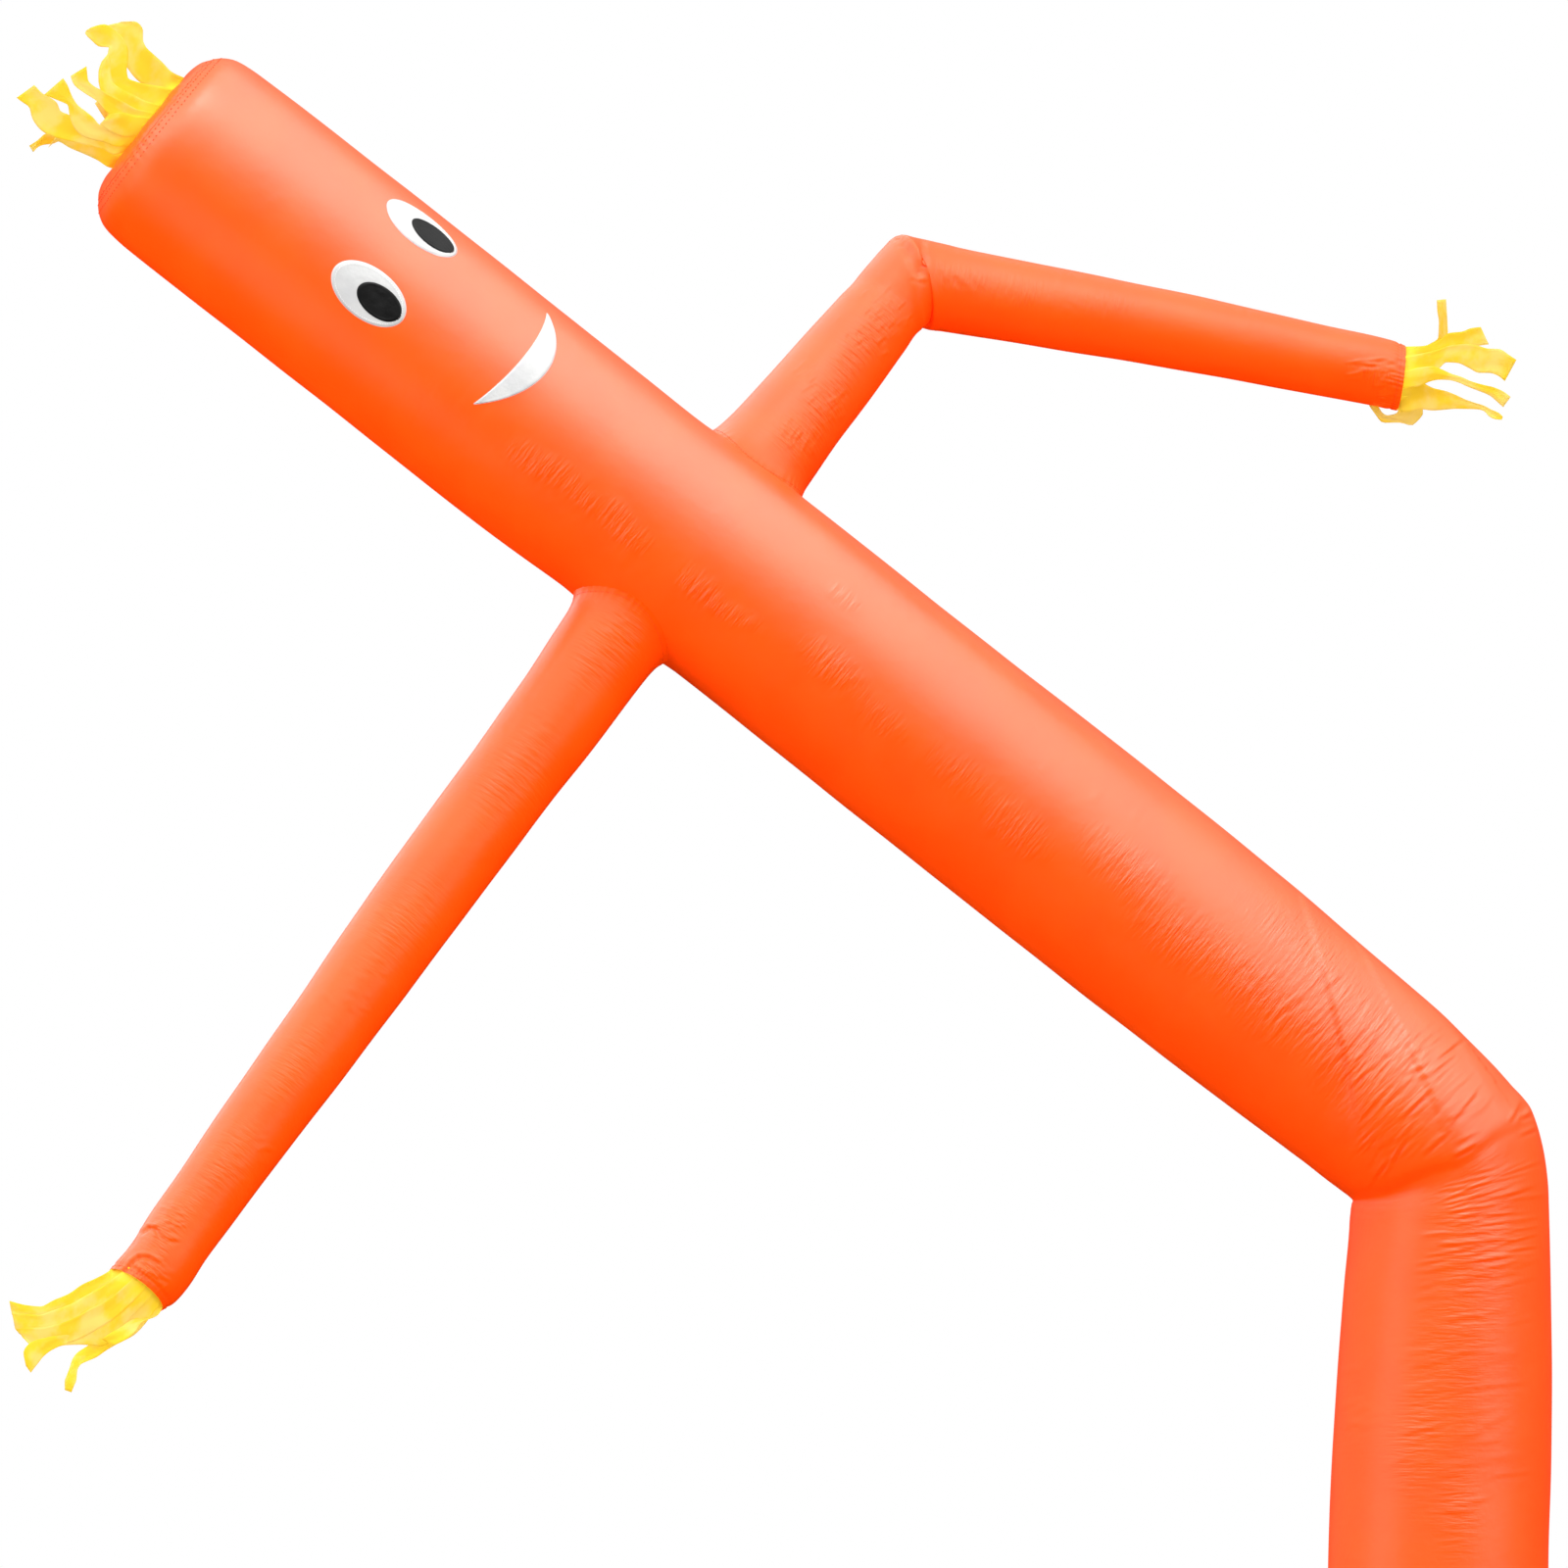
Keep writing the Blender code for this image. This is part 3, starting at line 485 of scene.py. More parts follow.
kneeFold = {  # right, down, overhang above the line and valley under it in millimetres
    "line": [(1379, 1226.5, 5.0, 1.5), (1390, 1226, 9.0, 3.0), (1406, 1224, 11.5, 4.0),
             (1426, 1217, 13.5, 4.5), (1446, 1207.5, 14.0, 4.5), (1466, 1200, 14.0, 4.5),
             (1486, 1195, 14.0, 3.6), (1496, 1190, 14.0, 2.4), (1506, 1184, 14.0, 1.2),
             (1516, 1176, 13.5, 0.5), (1527, 1168, 12.5, 0.0), (1539, 1160, 10.0, 0.0),
             (1555, 1151, 6.0, 0.0), (1568, 1140, 2.0, 0.0)],
    "step": 10.0, "stepShare": 0.52, "slow": 58.0, "reach": 360.0, "below": 42.0}
torsoCreases = [
    (1424, 1146, 1462, 1112, 2.2, 1.4, -1.0), (1426, 1167, 1441, 1148, 1.8, 1.3, -1.1),
    (1397, 1213, 1420, 1178, 1.8, 1.2, -1.0), (1420, 1178, 1440, 1149, 1.6, 1.0, -0.9),
    (1441, 1142, 1456, 1127, 1.8, 1.1, -0.8), (1450, 1105, 1482, 1081, 2.2, 1.2, -1.4),
    (1429, 1100, 1440, 1084, 1.8, 1.0, -1.0), (1431, 1099, 1459, 1088, 2.4, 1.2, -0.9),
    (1452, 1178, 1472, 1158, 2.0, 1.5, -1.2), (1472, 1158, 1504, 1119, 2.2, 1.6, -1.5),
    (1476, 1146, 1493, 1136, 1.9, 1.2, -0.8), (1484, 1169, 1509, 1156, 2.2, 1.1, -1.2),
    (1484, 1181, 1505, 1167, 2.0, 1.4, -1.4), (1456, 1150, 1484, 1120, 3.0, -1.2, 0.4),
    (1458, 1090, 1490, 1062, 2.4, 1.0, -1.5), (1388, 1143, 1415, 1114, 2.4, 0.9, -1.2),
    (1400, 1092, 1424, 1066, 2.2, 0.9, -1.1), (1296, 1043, 1323, 1016, 2.4, 0.8, -1.0),
    (1327, 1061, 1362, 1027, 2.6, 0.8, -1.1), (1412, 1128, 1430, 1109, 2.0, 0.9, -1.0),
    (1379, 1110, 1398, 1090, 2.2, 0.7, -0.9), (1440, 1077, 1462, 1056, 2.2, 0.7, -1.0),
    (1355, 1090, 1380, 1066, 2.4, 0.7, -0.8), (1539, 1147, 1548, 1132, 2.2, 1.5, -1.0),
    (1298, 1044, 1334, 1011, 2.2, 1.1, -0.9), (1333, 1013, 1357, 990, 2.2, 1.0, -0.8),
    (1309, 1037, 1331, 1017, 2.0, 0.8, -0.7), (1323, 987, 1344, 961, 2.4, 0.7, -0.6),
    (1340, 1021, 1369, 996, 2.2, 1.1, -1.0), (1329, 1067, 1356, 1042, 2.2, 0.8, -0.8),
    (1354, 1045, 1379, 1019, 2.2, 0.8, -0.8), (1343, 1075, 1363, 1054, 2.0, 0.7, -0.7),
    (1397, 1107, 1426, 1077, 1.8, 1.0, -0.9), (1424, 1079, 1446, 1058, 1.8, 1.0, -0.8),
    (1416, 1103, 1438, 1081, 1.7, 0.9, -0.8), (1436, 1083, 1468, 1062, 1.7, 1.0, -0.9),
    (1461, 1087, 1492, 1064, 1.7, 1.0, -0.9), (1414, 1200, 1443, 1146, 1.6, 2.2, -1.6),
    (1428, 1146, 1458, 1113, 1.6, 1.6, -1.3), (1452, 1181, 1483, 1151, 1.6, 1.9, -1.5),
    (1483, 1181, 1505, 1170, 1.7, 1.8, -1.5), (1476, 1146, 1505, 1117, 1.6, 1.5, -1.2),
    (1382, 1106, 1406, 1087, 1.9, 0.8, -0.8), (1367, 1091, 1383, 1079, 1.9, 0.7, -0.7),
    (1386, 1082, 1412, 1052, 1.9, 0.8, -0.7), (1398, 1060, 1420, 1036, 1.9, 0.7, -0.6),
    (1366, 1048, 1390, 1022, 2.1, 0.8, -0.7), (1378, 1066, 1402, 1040, 2.1, 0.8, -0.7),
    (1557, 1125, 1549, 1140, 2.4, -2.6, -2.0), (1549, 1142, 1565, 1136, 2.2, 1.6, -2.0),
    (1551, 1159, 1570, 1151, 1.8, 1.1, -1.0), (1500, 1199, 1530, 1192, 2.0, 0.5, -0.5),
    (1480, 1240, 1500, 1226, 2.0, 0.3, -0.3)]
legCreases = [
    (1478, 1224, 1520, 1206, 1.6, 0.9, -0.7), (1516, 1206, 1576, 1185, 1.6, 1.0, -0.8),
    (1480, 1217, 1562, 1197, 1.4, 0.7, -0.6), (1470, 1231, 1520, 1219, 1.6, 0.9, -0.8),
    (1468, 1239, 1530, 1230, 1.6, 0.8, -0.6), (1484, 1243, 1560, 1238, 1.6, 0.5, -0.5),
    (1490, 1254, 1572, 1243, 1.7, 0.8, -0.6), (1472, 1262, 1520, 1258, 1.6, 0.7, -0.6),
    (1466, 1272, 1546, 1266, 2.0, 1.3, -1.0), (1486, 1275, 1530, 1270, 1.6, 0.9, -0.8),
    (1454, 1283, 1500, 1276, 1.8, 1.0, -0.8), (1500, 1280, 1570, 1260, 1.6, 0.8, -0.6),
    (1444, 1292, 1492, 1282, 1.6, 0.8, -0.6), (1480, 1291, 1566, 1280, 1.8, 0.8, -0.8),
    (1440, 1300, 1520, 1292, 1.7, 0.7, -0.6), (1556, 1158, 1570, 1151, 1.4, 0.7, -0.6),
    (1428, 1465, 1476, 1455, 2.2, 1.7, -1.4), (1436, 1398, 1490, 1388, 2.2, 0.7, -0.6),
    (1470, 1350, 1540, 1338, 2.2, 0.8, -0.7), (1490, 1420, 1560, 1412, 2.2, 0.6, -0.6)]
bodyClusters = [  # right, down, reach along and across, slope, count, length, width, height
    (1430, 1115, 48, 55, 47, 46, 40, 1.5, 0.65), (1475, 1100, 18, 50, 44, 20, 32, 1.5, 0.6),
    (1350, 1055, 42, 48, 48, 34, 40, 2.1, 0.55), (1420, 1165, 30, 30, 50, 20, 34, 1.5, 0.8),
    (1520, 1222, 36, 24, 17, 30, 44, 1.4, 0.55), (1510, 1275, 44, 24, 12, 32, 50, 1.4, 0.6),
    (1500, 1330, 50, 30, 11, 22, 44, 1.6, 0.5), (1480, 1400, 52, 40, 11, 20, 40, 1.9, 0.5),
    (1490, 1480, 50, 40, 10, 18, 38, 1.9, 0.5), (1496, 1536, 12, 20, 9, 12, 30, 1.8, 0.7),
    (1400, 1440, 24, 60, 14, 10, 30, 2.0, 0.5), (570, 490, 24, 32, 52, 20, 14, 1.7, 0.5),
    (645, 562, 16, 16, 50, 12, 14, 1.7, 0.6), (730, 605, 18, 18, 50, 16, 15, 1.7, 0.6),
    (855, 690, 18, 22, 50, 18, 16, 1.7, 0.7), (1035, 855, 24, 30, 50, 18, 16, 1.8, 0.6),
    (1190, 930, 30, 40, 50, 20, 18, 1.9, 0.6), (1290, 1010, 30, 40, 48, 24, 20, 1.9, 0.6),
    (760, 520, 20, 40, 50, 10, 14, 1.8, 0.4), (940, 640, 20, 50, 50, 12, 16, 1.8, 0.4),
    (1120, 800, 20, 60, 50, 14, 16, 1.8, 0.4), (300, 190, 30, 40, 50, 14, 16, 1.8, 0.35)]
backClusters = [
    (1440, 1110, 50, 60, 46, 60, 28, 1.8, 0.9), (1400, 1160, 30, 30, 48, 22, 26, 1.8, 0.9),
    (1500, 1250, 50, 40, 10, 50, 38, 1.7, 0.9), (1460, 1340, 60, 60, 8, 26, 34, 2.0, 0.7),
    (1470, 1480, 60, 60, 8, 24, 34, 2.0, 0.6), (1300, 1020, 40, 70, 48, 34, 24, 1.9, 0.7),
    (1100, 850, 40, 90, 50, 30, 20, 1.9, 0.5), (860, 650, 50, 90, 50, 30, 18, 1.9, 0.5),
    (600, 450, 50, 90, 50, 28, 18, 1.9, 0.5), (360, 280, 50, 80, 50, 20, 18, 1.9, 0.4)]


def foldedKnee(spots, facing):  # the torso's overhang closes on the leg along one crease
    line = np.array(kneeFold["line"])
    nearest = np.full(spots.shape[:-1], 1e9)
    signed = np.zeros(spots.shape[:-1])
    overhang, valley = np.zeros(spots.shape[:-1]), np.zeros(spots.shape[:-1])
    for start, end in zip(line, line[1:]):
        run = end[:2] - start[:2]
        length = np.linalg.norm(run)
        offset = spots - start[:2]
        t = np.clip((offset @ run) / length**2, 0, 1)
        gap = offset - t[..., None] * run
        distance = np.linalg.norm(gap, axis=-1)
        above = (gap @ np.array((run[1], -run[0]))) > 0
        closer = distance < nearest
        nearest = np.where(closer, distance, nearest)
        signed = np.where(closer, np.where(above, distance, -distance), signed)
        overhang = np.where(closer, start[2] + (end[2] - start[2]) * t, overhang)
        valley = np.where(closer, start[3] + (end[3] - start[3]) * t, valley)
    over, under = np.maximum(signed, 0), np.maximum(-signed, 0)
    rise = 1 - kneeFold["stepShare"] * np.exp(-(over / kneeFold["step"]) ** 2) - (
        1 - kneeFold["stepShare"]) * np.exp(-(over / kneeFold["slow"]) ** 2)
    above = (overhang * rise - valley) * np.exp(-(over / kneeFold["reach"]) ** 2)
    below = -valley * np.exp(-(under / kneeFold["below"]) ** 2)
    return np.where(signed > 0, above, below) * ease(np.abs(facing) / 0.5) * 0.001


def slackCloth(around, along, size):  # slow unevenness of filled cloth
    height = np.zeros(np.broadcast(around, along).shape)
    for wave, turn, lag in ((9.0, 2, 0.3), (14.0, 3, 1.7), (21.0, 1, 2.9), (31.0, 4, 4.1),
                            (44.0, 2, 5.3)):
        height += np.sin(along * wave + lag * 2.3) * np.sin(around * turn + lag)
    return height * size / 3


bodyNormals = gridNormals(bodyGrid)
spots, facing = onDrawing(bodyGrid), -bodyNormals[..., 1]
height = foldedKnee(spots, facing)
frontStrokes = torsoCreases + legCreases + [row for c in bodyClusters for row in scatter(c)]
backStrokes = [row for c in backClusters for row in scatter(c)]
height += creased(spots, facing, frontStrokes) + creased(spots, -facing, backStrokes)
height += slackCloth(bodyAngles[None, :], bodyStations[:, None], 0.0004)

# gathers where the tube is sewn to the head's end disc
headSeam = {"station": 0.0124, "gathers": 46, "height": 0.0012, "fade": 0.016}


def gathered(angles, distance, seam, lag=0.0):
    swell = 0.6 + 0.4 * np.sin(angles * 5 + lag) * np.sin(angles * 3 + 1 + lag)
    wave = np.sin(angles * seam["gathers"] + 2.2 * np.sin(angles * 7 + lag))
    return wave * swell * seam["height"] * np.exp(-(distance / seam["fade"]) ** 2)


height += gathered(bodyAngles[None, :], headStations[:, None] - headSeam["station"], headSeam)
height += lapRise(bodyAngles)
print("body creases are drawn")


# ---- arms: where they leave the torso, and how far each one reaches

anyArm = {"flare": 0.010, "backCreases": 26, "allowance": 0.007, "allowanceDip": 0.003,
          "cuffSeam": 0.010,
          "cuffGroove": 0.0012, "cuffGrooveWidth": 0.0022, "slack": 0.0006,
          "rootGathers": {"gathers": 40, "height": 0.0009, "fade": 0.018},
          "cuffGathers": {"gathers": 40, "height": 0.0008, "fade": 0.012}}
leftArm = {**anyArm, "name": "armLeftCloth", "node": "arm_left", "sides": 130,
           "frontShare": 0.30, "gloss": 0.33, "roughness": 0.36, "frontFlare": 0.0,
           "flareFade": 0.013, "blend": 0.42,
           "spacing": [(0.0, 0.0030), (1.02, 0.0036), (1.06, 0.0022), (1.30, 0.0022)]}
rightArm = {**anyArm, "name": "armRightCloth", "node": "arm_right", "sides": 160,
            "frontShare": 0.46, "gloss": 0.46, "roughness": 0.42, "frontFlare": 0.013,
            "flareFade": 0.021, "blend": 0.20,
            "spacing": [(0.0, 0.0030), (0.18, 0.0030), (0.21, 0.0016), (0.24, 0.0009),
                        (0.32, 0.0009), (0.35, 0.0018), (0.40, 0.0038), (0.94, 0.0038),
                        (0.99, 0.0024), (1.30, 0.0024)]}
leftArmRows = [  # x, y, z, half width, tilt in degrees
    (-1.114, -0.0300, 1.508, 0.0735, 144.0), (-1.179, -0.0600, 1.419, 0.0710, 144.0),
    (-1.226, -0.0860, 1.351, 0.0686, 144.0), (-1.291, -0.1190, 1.263, 0.0655, 144.0),
    (-1.421, -0.1870, 1.087, 0.0636, 144.0), (-1.547, -0.2540, 0.910, 0.0588, 144.0),
    (-1.675, -0.3210, 0.734, 0.0535, 144.5), (-1.721, -0.3460, 0.668, 0.0511, 145.0),
    (-1.761, -0.3670, 0.612, 0.0504, 144.0), (-1.782, -0.3800, 0.578, 0.0501, 142.0),
    (-1.799, -0.3880, 0.557, 0.0494, 142.0), (-1.817, -0.3960, 0.541, 0.0456, 143.0)]
rightArmRows = [
    (-0.988, 0.0485, 1.652, 0.0750, -39.8), (-0.950, 0.0810, 1.699, 0.0730, -39.8),
    (-0.932, 0.0960, 1.720, 0.0717, -39.8), (-0.898, 0.1250, 1.763, 0.0686, -39.8),
    (-0.863, 0.1540, 1.806, 0.0659, -39.8), (-0.793, 0.2130, 1.893, 0.0601, -39.8),
    (-0.775, 0.2270, 1.915, 0.0574, -39.8), (-0.760, 0.2370, 1.933, 0.0590, -53.5),
    (-0.747, 0.2450, 1.947, 0.0629, -65.8), (-0.737, 0.2510, 1.9545, 0.0668, -75.0),
    (-0.723, 0.2550, 1.9505, 0.0658, -81.2), (-0.705, 0.2580, 1.9468, 0.0629, -90.0),
    (-0.682, 0.2600, 1.942, 0.0605, -101.4), (-0.574, 0.2680, 1.923, 0.0581, -101.4),
    (-0.355, 0.2840, 1.883, 0.0540, -101.4), (-0.165, 0.2970, 1.844, 0.0499, -101.4),
    (-0.070, 0.3040, 1.825, 0.0481, -100.0), (-0.045, 0.3060, 1.818, 0.0464, -97.0)]
leftArmCreases = [
    (142, 1259, 153, 1250, 1.9, 1.3, -2.4), (149, 1251, 162, 1253, 1.9, 1.3, -2.4),
    (157, 1251, 169, 1265, 1.9, 1.3, -2.2), (120, 1302, 135, 1286, 2.0, 1.6, -2.8),
    (131, 1289, 143, 1280, 2.0, 1.6, -2.8), (139, 1281, 155, 1282, 2.0, 1.5, -2.6),
    (150, 1281, 165, 1289, 1.9, 1.3, -2.2), (136, 1290, 152, 1305, 2.2, 1.5, -1.2),
    (141, 1285, 150, 1292, 2.2, 0.9, -0.7), (128, 1272, 138, 1262, 3.0, 0.6, -0.9)]
rightArmCreases = [
    (909, 229, 929, 260, 1.4, -3.6, -3.6), (921, 247, 941, 284, 2.2, -4.2, -4.2),
    (940.5, 243, 944.5, 273, 1.6, -3.2, -3.2), (945, 260, 938, 284, 2.0, -3.0, -3.0),
    (939, 280, 945.5, 346, 5.0, 0.0, 2.6), (930, 283, 946, 289, 2.0, 0.9, -1.2),
    (960, 274, 968, 290, 3.0, 0.6, -0.6),
    (975, 280, 984, 294, 3.0, 0.9, -0.9), (992, 278, 999, 296, 2.6, 0.7, -0.7)]
leftArmClusters = [
    (172, 1257, 12, 10, -10, 14, 13, 1.8, 0.8), (176, 1240, 12, 12, -12, 10, 12, 1.8, 0.7),
    (158, 1300, 14, 10, -25, 10, 12, 1.8, 0.7), (250, 1180, 22, 40, -20, 16, 14, 1.8, 0.5),
    (380, 980, 22, 70, -30, 18, 14, 1.8, 0.45), (520, 770, 24, 60, -30, 16, 14, 1.8, 0.45),
    (640, 640, 22, 16, -20, 12, 14, 1.8, 0.6)]
rightArmClusters = [
    (905, 320, 16, 30, 45, 22, 14, 1.7, 0.6), (880, 345, 14, 30, 45, 14, 13, 1.7, 0.6),
    (835, 400, 16, 36, 40, 22, 14, 1.7, 0.7), (815, 450, 14, 20, 60, 14, 14, 1.7, 0.8),
    (975, 275, 20, 16, 80, 12, 12, 1.8, 0.5), (1100, 300, 24, 30, 80, 12, 14, 1.8, 0.4),
    (1280, 335, 24, 30, 80, 12, 14, 1.8, 0.4), (1400, 375, 22, 8, 8, 18, 16, 1.7, 0.8),
    (1418, 395, 12, 10, 8, 12, 12, 1.7, 0.8)]


def armTable(rows):
    return np.array([(x, y, z, half, half, tilt, 0.0) for x, y, z, half, tilt in rows])


def outsideTorso(points, clear=0.0004):  # positive outside the torso's cloth
    station = (points - body["headEnd"]) @ torsoDown
    rows = np.array(torsoRows)[::-1]
    half = np.interp(station, rows[:, 0], rows[:, 1])
    offset = np.interp(station, rows[:, 0], rows[:, 2])
    sideways = (points - body["headEnd"]) @ torsoAcross - offset
    depth = np.maximum(half, body["depthTorso"])
    return np.hypot(sideways / half, points[..., 1] / depth) - 1 - clear / 0.15


def buildArm(arm, rows, creases, clusters):
    table = armTable(rows)
    length = tableLength(table)
    angles = lappedTurns(arm["sides"], arm["frontShare"])
    probe = np.linspace(0, min(0.45, length / 2), 600)
    flare = arm["flare"] + arm["frontFlare"] * np.clip(np.sin(angles), 0, 1) ** 2
    bare = tubeRings(table, probe, angles)[0]
    outside = outsideTorso(bare + gridNormals(bare) * flare[None, :, None])
    first = np.argmax(outside > 0, axis=0)
    before = np.maximum(first - 1, 0)
    columns = np.arange(arm["sides"])
    share = -outside[before, columns] / (outside[first, columns] - outside[before, columns])
    root = probe[before] + share * (probe[1] - probe[0])

    straight = root.max() + (length - root.max()) * arm["blend"]
    steps = root.mean() + spacedStations(arm["spacing"], length - root.mean())
    count = len(steps)
    stations = np.empty((count, arm["sides"]))
    for k in range(arm["sides"]):  # rings run with the seam at the root, then square to the arm
        t = np.clip((steps - steps[0]) / (straight - steps[0]), 0, 1)
        slanted = root[k] + (straight - root[k]) * t
        stations[:, k] = np.where(steps < straight, slanted, steps)
    grid = np.empty((count, arm["sides"], 3))
    for k in range(arm["sides"]):
        grid[:, k] = tubeRings(table, stations[:, k], angles[k:k + 1])[0][:, 0]
    normals = gridNormals(grid)
    fromRoot = stations - root[None, :]
    fromEnd = length - stations
    spots, facing = onDrawing(grid), -normals[..., 1]
    height = creased(spots, facing, creases, 0.12)
    height += creased(spots, facing, [row for c in clusters for row in scatter(c)])
    backs = []
    middles = onDrawing(table[:, :3])
    for _ in range(arm["backCreases"]):  # the far side has a few slack gathers too
        spot = rng.uniform(1, len(middles) - 1.01)
        at = middles[int(spot)] + (middles[int(spot) + 1] - middles[int(spot)]) * (spot % 1)
        slope = table[int(spot), 5]
        backs += scatter((at[0], at[1], 26, 10, slope, 3, 15, 1.8, 0.6))
    height += creased(spots, -facing, backs)
    height += gathered(angles[None, :], fromRoot, arm["rootGathers"], 1.0)
    height += flare * np.exp(-fromRoot / arm["flareFade"])
    fromCuffSeam = fromEnd - arm["cuffSeam"]
    height -= arm["cuffGroove"] * np.exp(-(fromCuffSeam / arm["cuffGrooveWidth"]) ** 2)
    height += gathered(angles[None, :], fromCuffSeam, arm["cuffGathers"], 2.0)
    height += slackCloth(angles[None, :], stations, arm["slack"]) * ease(fromRoot / 0.05)
    height += lapRise(angles)
    shaped = grid + normals * height[..., None]
    shaped[0] = grid[0] + normals[0] * flare[:, None]
    tucked = (shaped[0] - unit(shaped[3] - shaped[0]) * arm["allowance"]
              - normals[0] * arm["allowanceDip"])
    shaped = np.concatenate([tucked[None], shaped])  # the seam allowance, inside the torso
    stations = np.concatenate([stations[:1] - arm["allowance"], stations])
    uvs = np.stack((np.broadcast_to(angles[None, :] * 0.06, stations.shape), stations), axis=-1)
    return shaped, uvs, root, length


armShapes = []
for arm, rows, creases, clusters in ((leftArm, leftArmRows, leftArmCreases, leftArmClusters),
                                     (rightArm, rightArmRows, rightArmCreases, rightArmClusters)):
    armShapes.append(buildArm(arm, rows, creases, clusters))
print("arms are shaped")


# ---- the body's cloth, with its armholes

face = {"turn": math.radians(27.5), "spread": math.radians(25.7), "eyeStation": 0.394,
        "eyeLength": 0.121, "eyeWidth": 0.073, "pupilStation": 0.413, "pupilLength": 0.073,
        "pupilWidth": 0.043, "mouthStation": 0.605, "mouthHalfTurn": math.radians(36.8),
        "mouthInnerDrop": 0.014, "mouthOuterDrop": 0.051, "mouthTip": 0.002, "clear": 0.006}
def underFace():  # 1 under a patch, so that the cloth lies smooth there
    turn = np.pi / 2 - bodyAngles[None, :]
    station = headStations[:, None]
    smooth = np.zeros(np.broadcast(turn, station).shape)
    for side in (-1, 1):
        across = (turn - face["turn"] - side * face["spread"]) * body["radius"] / face["eyeWidth"]
        along = (station - face["eyeStation"]) / face["eyeLength"]
        smooth = np.maximum(smooth, 1 - ease((2 * np.hypot(across, along) - 1) / 0.25))
    turned = (turn - face["turn"]) / face["mouthHalfTurn"]
    bow = 1 - np.clip(turned, -1, 1) ** 2
    low = face["mouthStation"] + face["mouthInnerDrop"] * bow - face["clear"]
    high = face["mouthStation"] + face["mouthOuterDrop"] * bow + face["clear"]
    inside = (np.abs(turned) < 1.03) & (station > low) & (station < high)
    return np.maximum(smooth, inside * 1.0)


patchMask = underFace()
height = height * (1 - patchMask)


def armReach(points, rows):  # distance from an arm's axis, against its half width there
    start, end = np.array(rows[0][:3]), np.array(rows[3][:3])
    along = unit(end - start)
    offset = points - start
    far = offset @ along
    half = np.interp(far, [0, np.linalg.norm(end - start)], [rows[0][3], rows[3][3]])
    sideways = offset - far[..., None] * along
    return np.linalg.norm(sideways, axis=-1) - half, far, sideways, half


drawnUp = {"height": 0.0022, "gap": 0.004, "reach": 0.020}
for rows in (leftArmRows, rightArmRows):  # the cloth is drawn up a little towards each arm
    gap, far, _, _ = armReach(bodyGrid, rows)
    away = (gap - drawnUp["gap"]) / drawnUp["reach"]
    height += drawnUp["height"] * np.exp(-away**2) * (far > 0)
bodyShape = bodyGrid + bodyNormals * height[..., None]

armhole = {"allowance": 0.006, "pulled": 0.012}
inside = np.zeros(bodyGrid.shape[:2], bool)
for rows in (leftArmRows, rightArmRows):
    gap, far, sideways, half = armReach(bodyShape, rows)
    hole = (gap < -armhole["allowance"]) & (far > 0)
    pulled = bodyShape + sideways * (
        ((half - armhole["allowance"]) / np.maximum(half + gap, 1e-6))[..., None] - 1)
    near = hole & (gap > -armhole["allowance"] - armhole["pulled"])
    bodyShape = np.where(near[..., None], pulled, bodyShape)
    inside |= hole

# the base hem: the cloth is turned up inside and stitched
hem = {"height": 0.040, "bulge": 0.0008, "groove": 0.0012, "grooveWidth": 0.0016,
       "roll": 0.003, "rollDepth": 0.0008,
       "inside": [(0.040, 0.0030), (0.030, 0.0032), (0.018, 0.0032), (0.006, 0.0030),
                  (0.0016, 0.0024), (0.0002, 0.0012)]}  # height, and how far in from the leg
hemRows = []
for z, inset in hem["inside"]:
    ring = bodyShape[0] - unit(bodyShape[0] - bodySections[0, :3]) * inset
    ring[:, 2] = z
    hemRows.append(ring)
lift = bodyShape[..., 2]
groove = hem["groove"] * np.exp(-((lift - hem["height"]) / hem["grooveWidth"]) ** 2)
bulge = (lift < hem["height"]) * hem["bulge"]
rolled = np.where(lift < hem["roll"], hem["rollDepth"] * (1 - lift / hem["roll"]), 0)
fromAxis = unit(bodyShape - bodySections[:, None, :3])
onLeg = (bodyStations < 0.1)[:, None]
bodyShape = bodyShape + fromAxis * (onLeg * (bulge - groove - rolled))[..., None]

stack = np.concatenate([np.array(hemRows), bodyShape])
insideStack = np.concatenate([np.zeros((len(hemRows), body["sides"]), bool), inside])
sides = body["sides"]
faces = [quad for quad in gridFaces(len(stack), sides)
         if not all(insideStack.flat[i] for i in quad)]
used = sorted({i for quad in faces for i in quad})
renumber = {old: new for new, old in enumerate(used)}
faces = [tuple(renumber[i] for i in quad) for quad in faces]
alongStack = np.concatenate([[-z for z, _ in hem["inside"]], bodyStations])
uvStack = np.stack(np.broadcast_arrays(bodyAngles[None, :] * body["radius"], alongStack[:, None]),
                   axis=-1)
bodyGathers = [  # right, down, reach in metres, strength
    (542, 470, 0.030, 0.9), (575, 488, 0.030, 0.8), (600, 512, 0.024, 0.7),
    (640, 545, 0.030, 1.0), (630, 520, 0.020, 0.7), (716, 600, 0.030, 1.0),
    (740, 625, 0.024, 0.8), (764, 632, 0.020, 0.6), (846, 679, 0.040, 1.0),
    (862, 608, 0.024, 0.5), (901, 734, 0.036, 0.6), (977, 789, 0.040, 0.7),
    (1038, 844, 0.044, 0.9), (1148, 887, 0.056, 0.9), (1191, 954, 0.050, 0.8),
    (1252, 979, 0.060, 0.8),
    (1301, 1030, 0.070, 0.8), (1330, 960, 0.080, 0.7), (1400, 1050, 0.100, 0.7),
    (1390, 1110, 0.070, 0.7), (1480, 1390, 0.090, 0.4), (1490, 1545, 0.050, 0.5),
    (1440, 1470, 0.060, 0.4), (1510, 1260, 0.100, 0.5)]
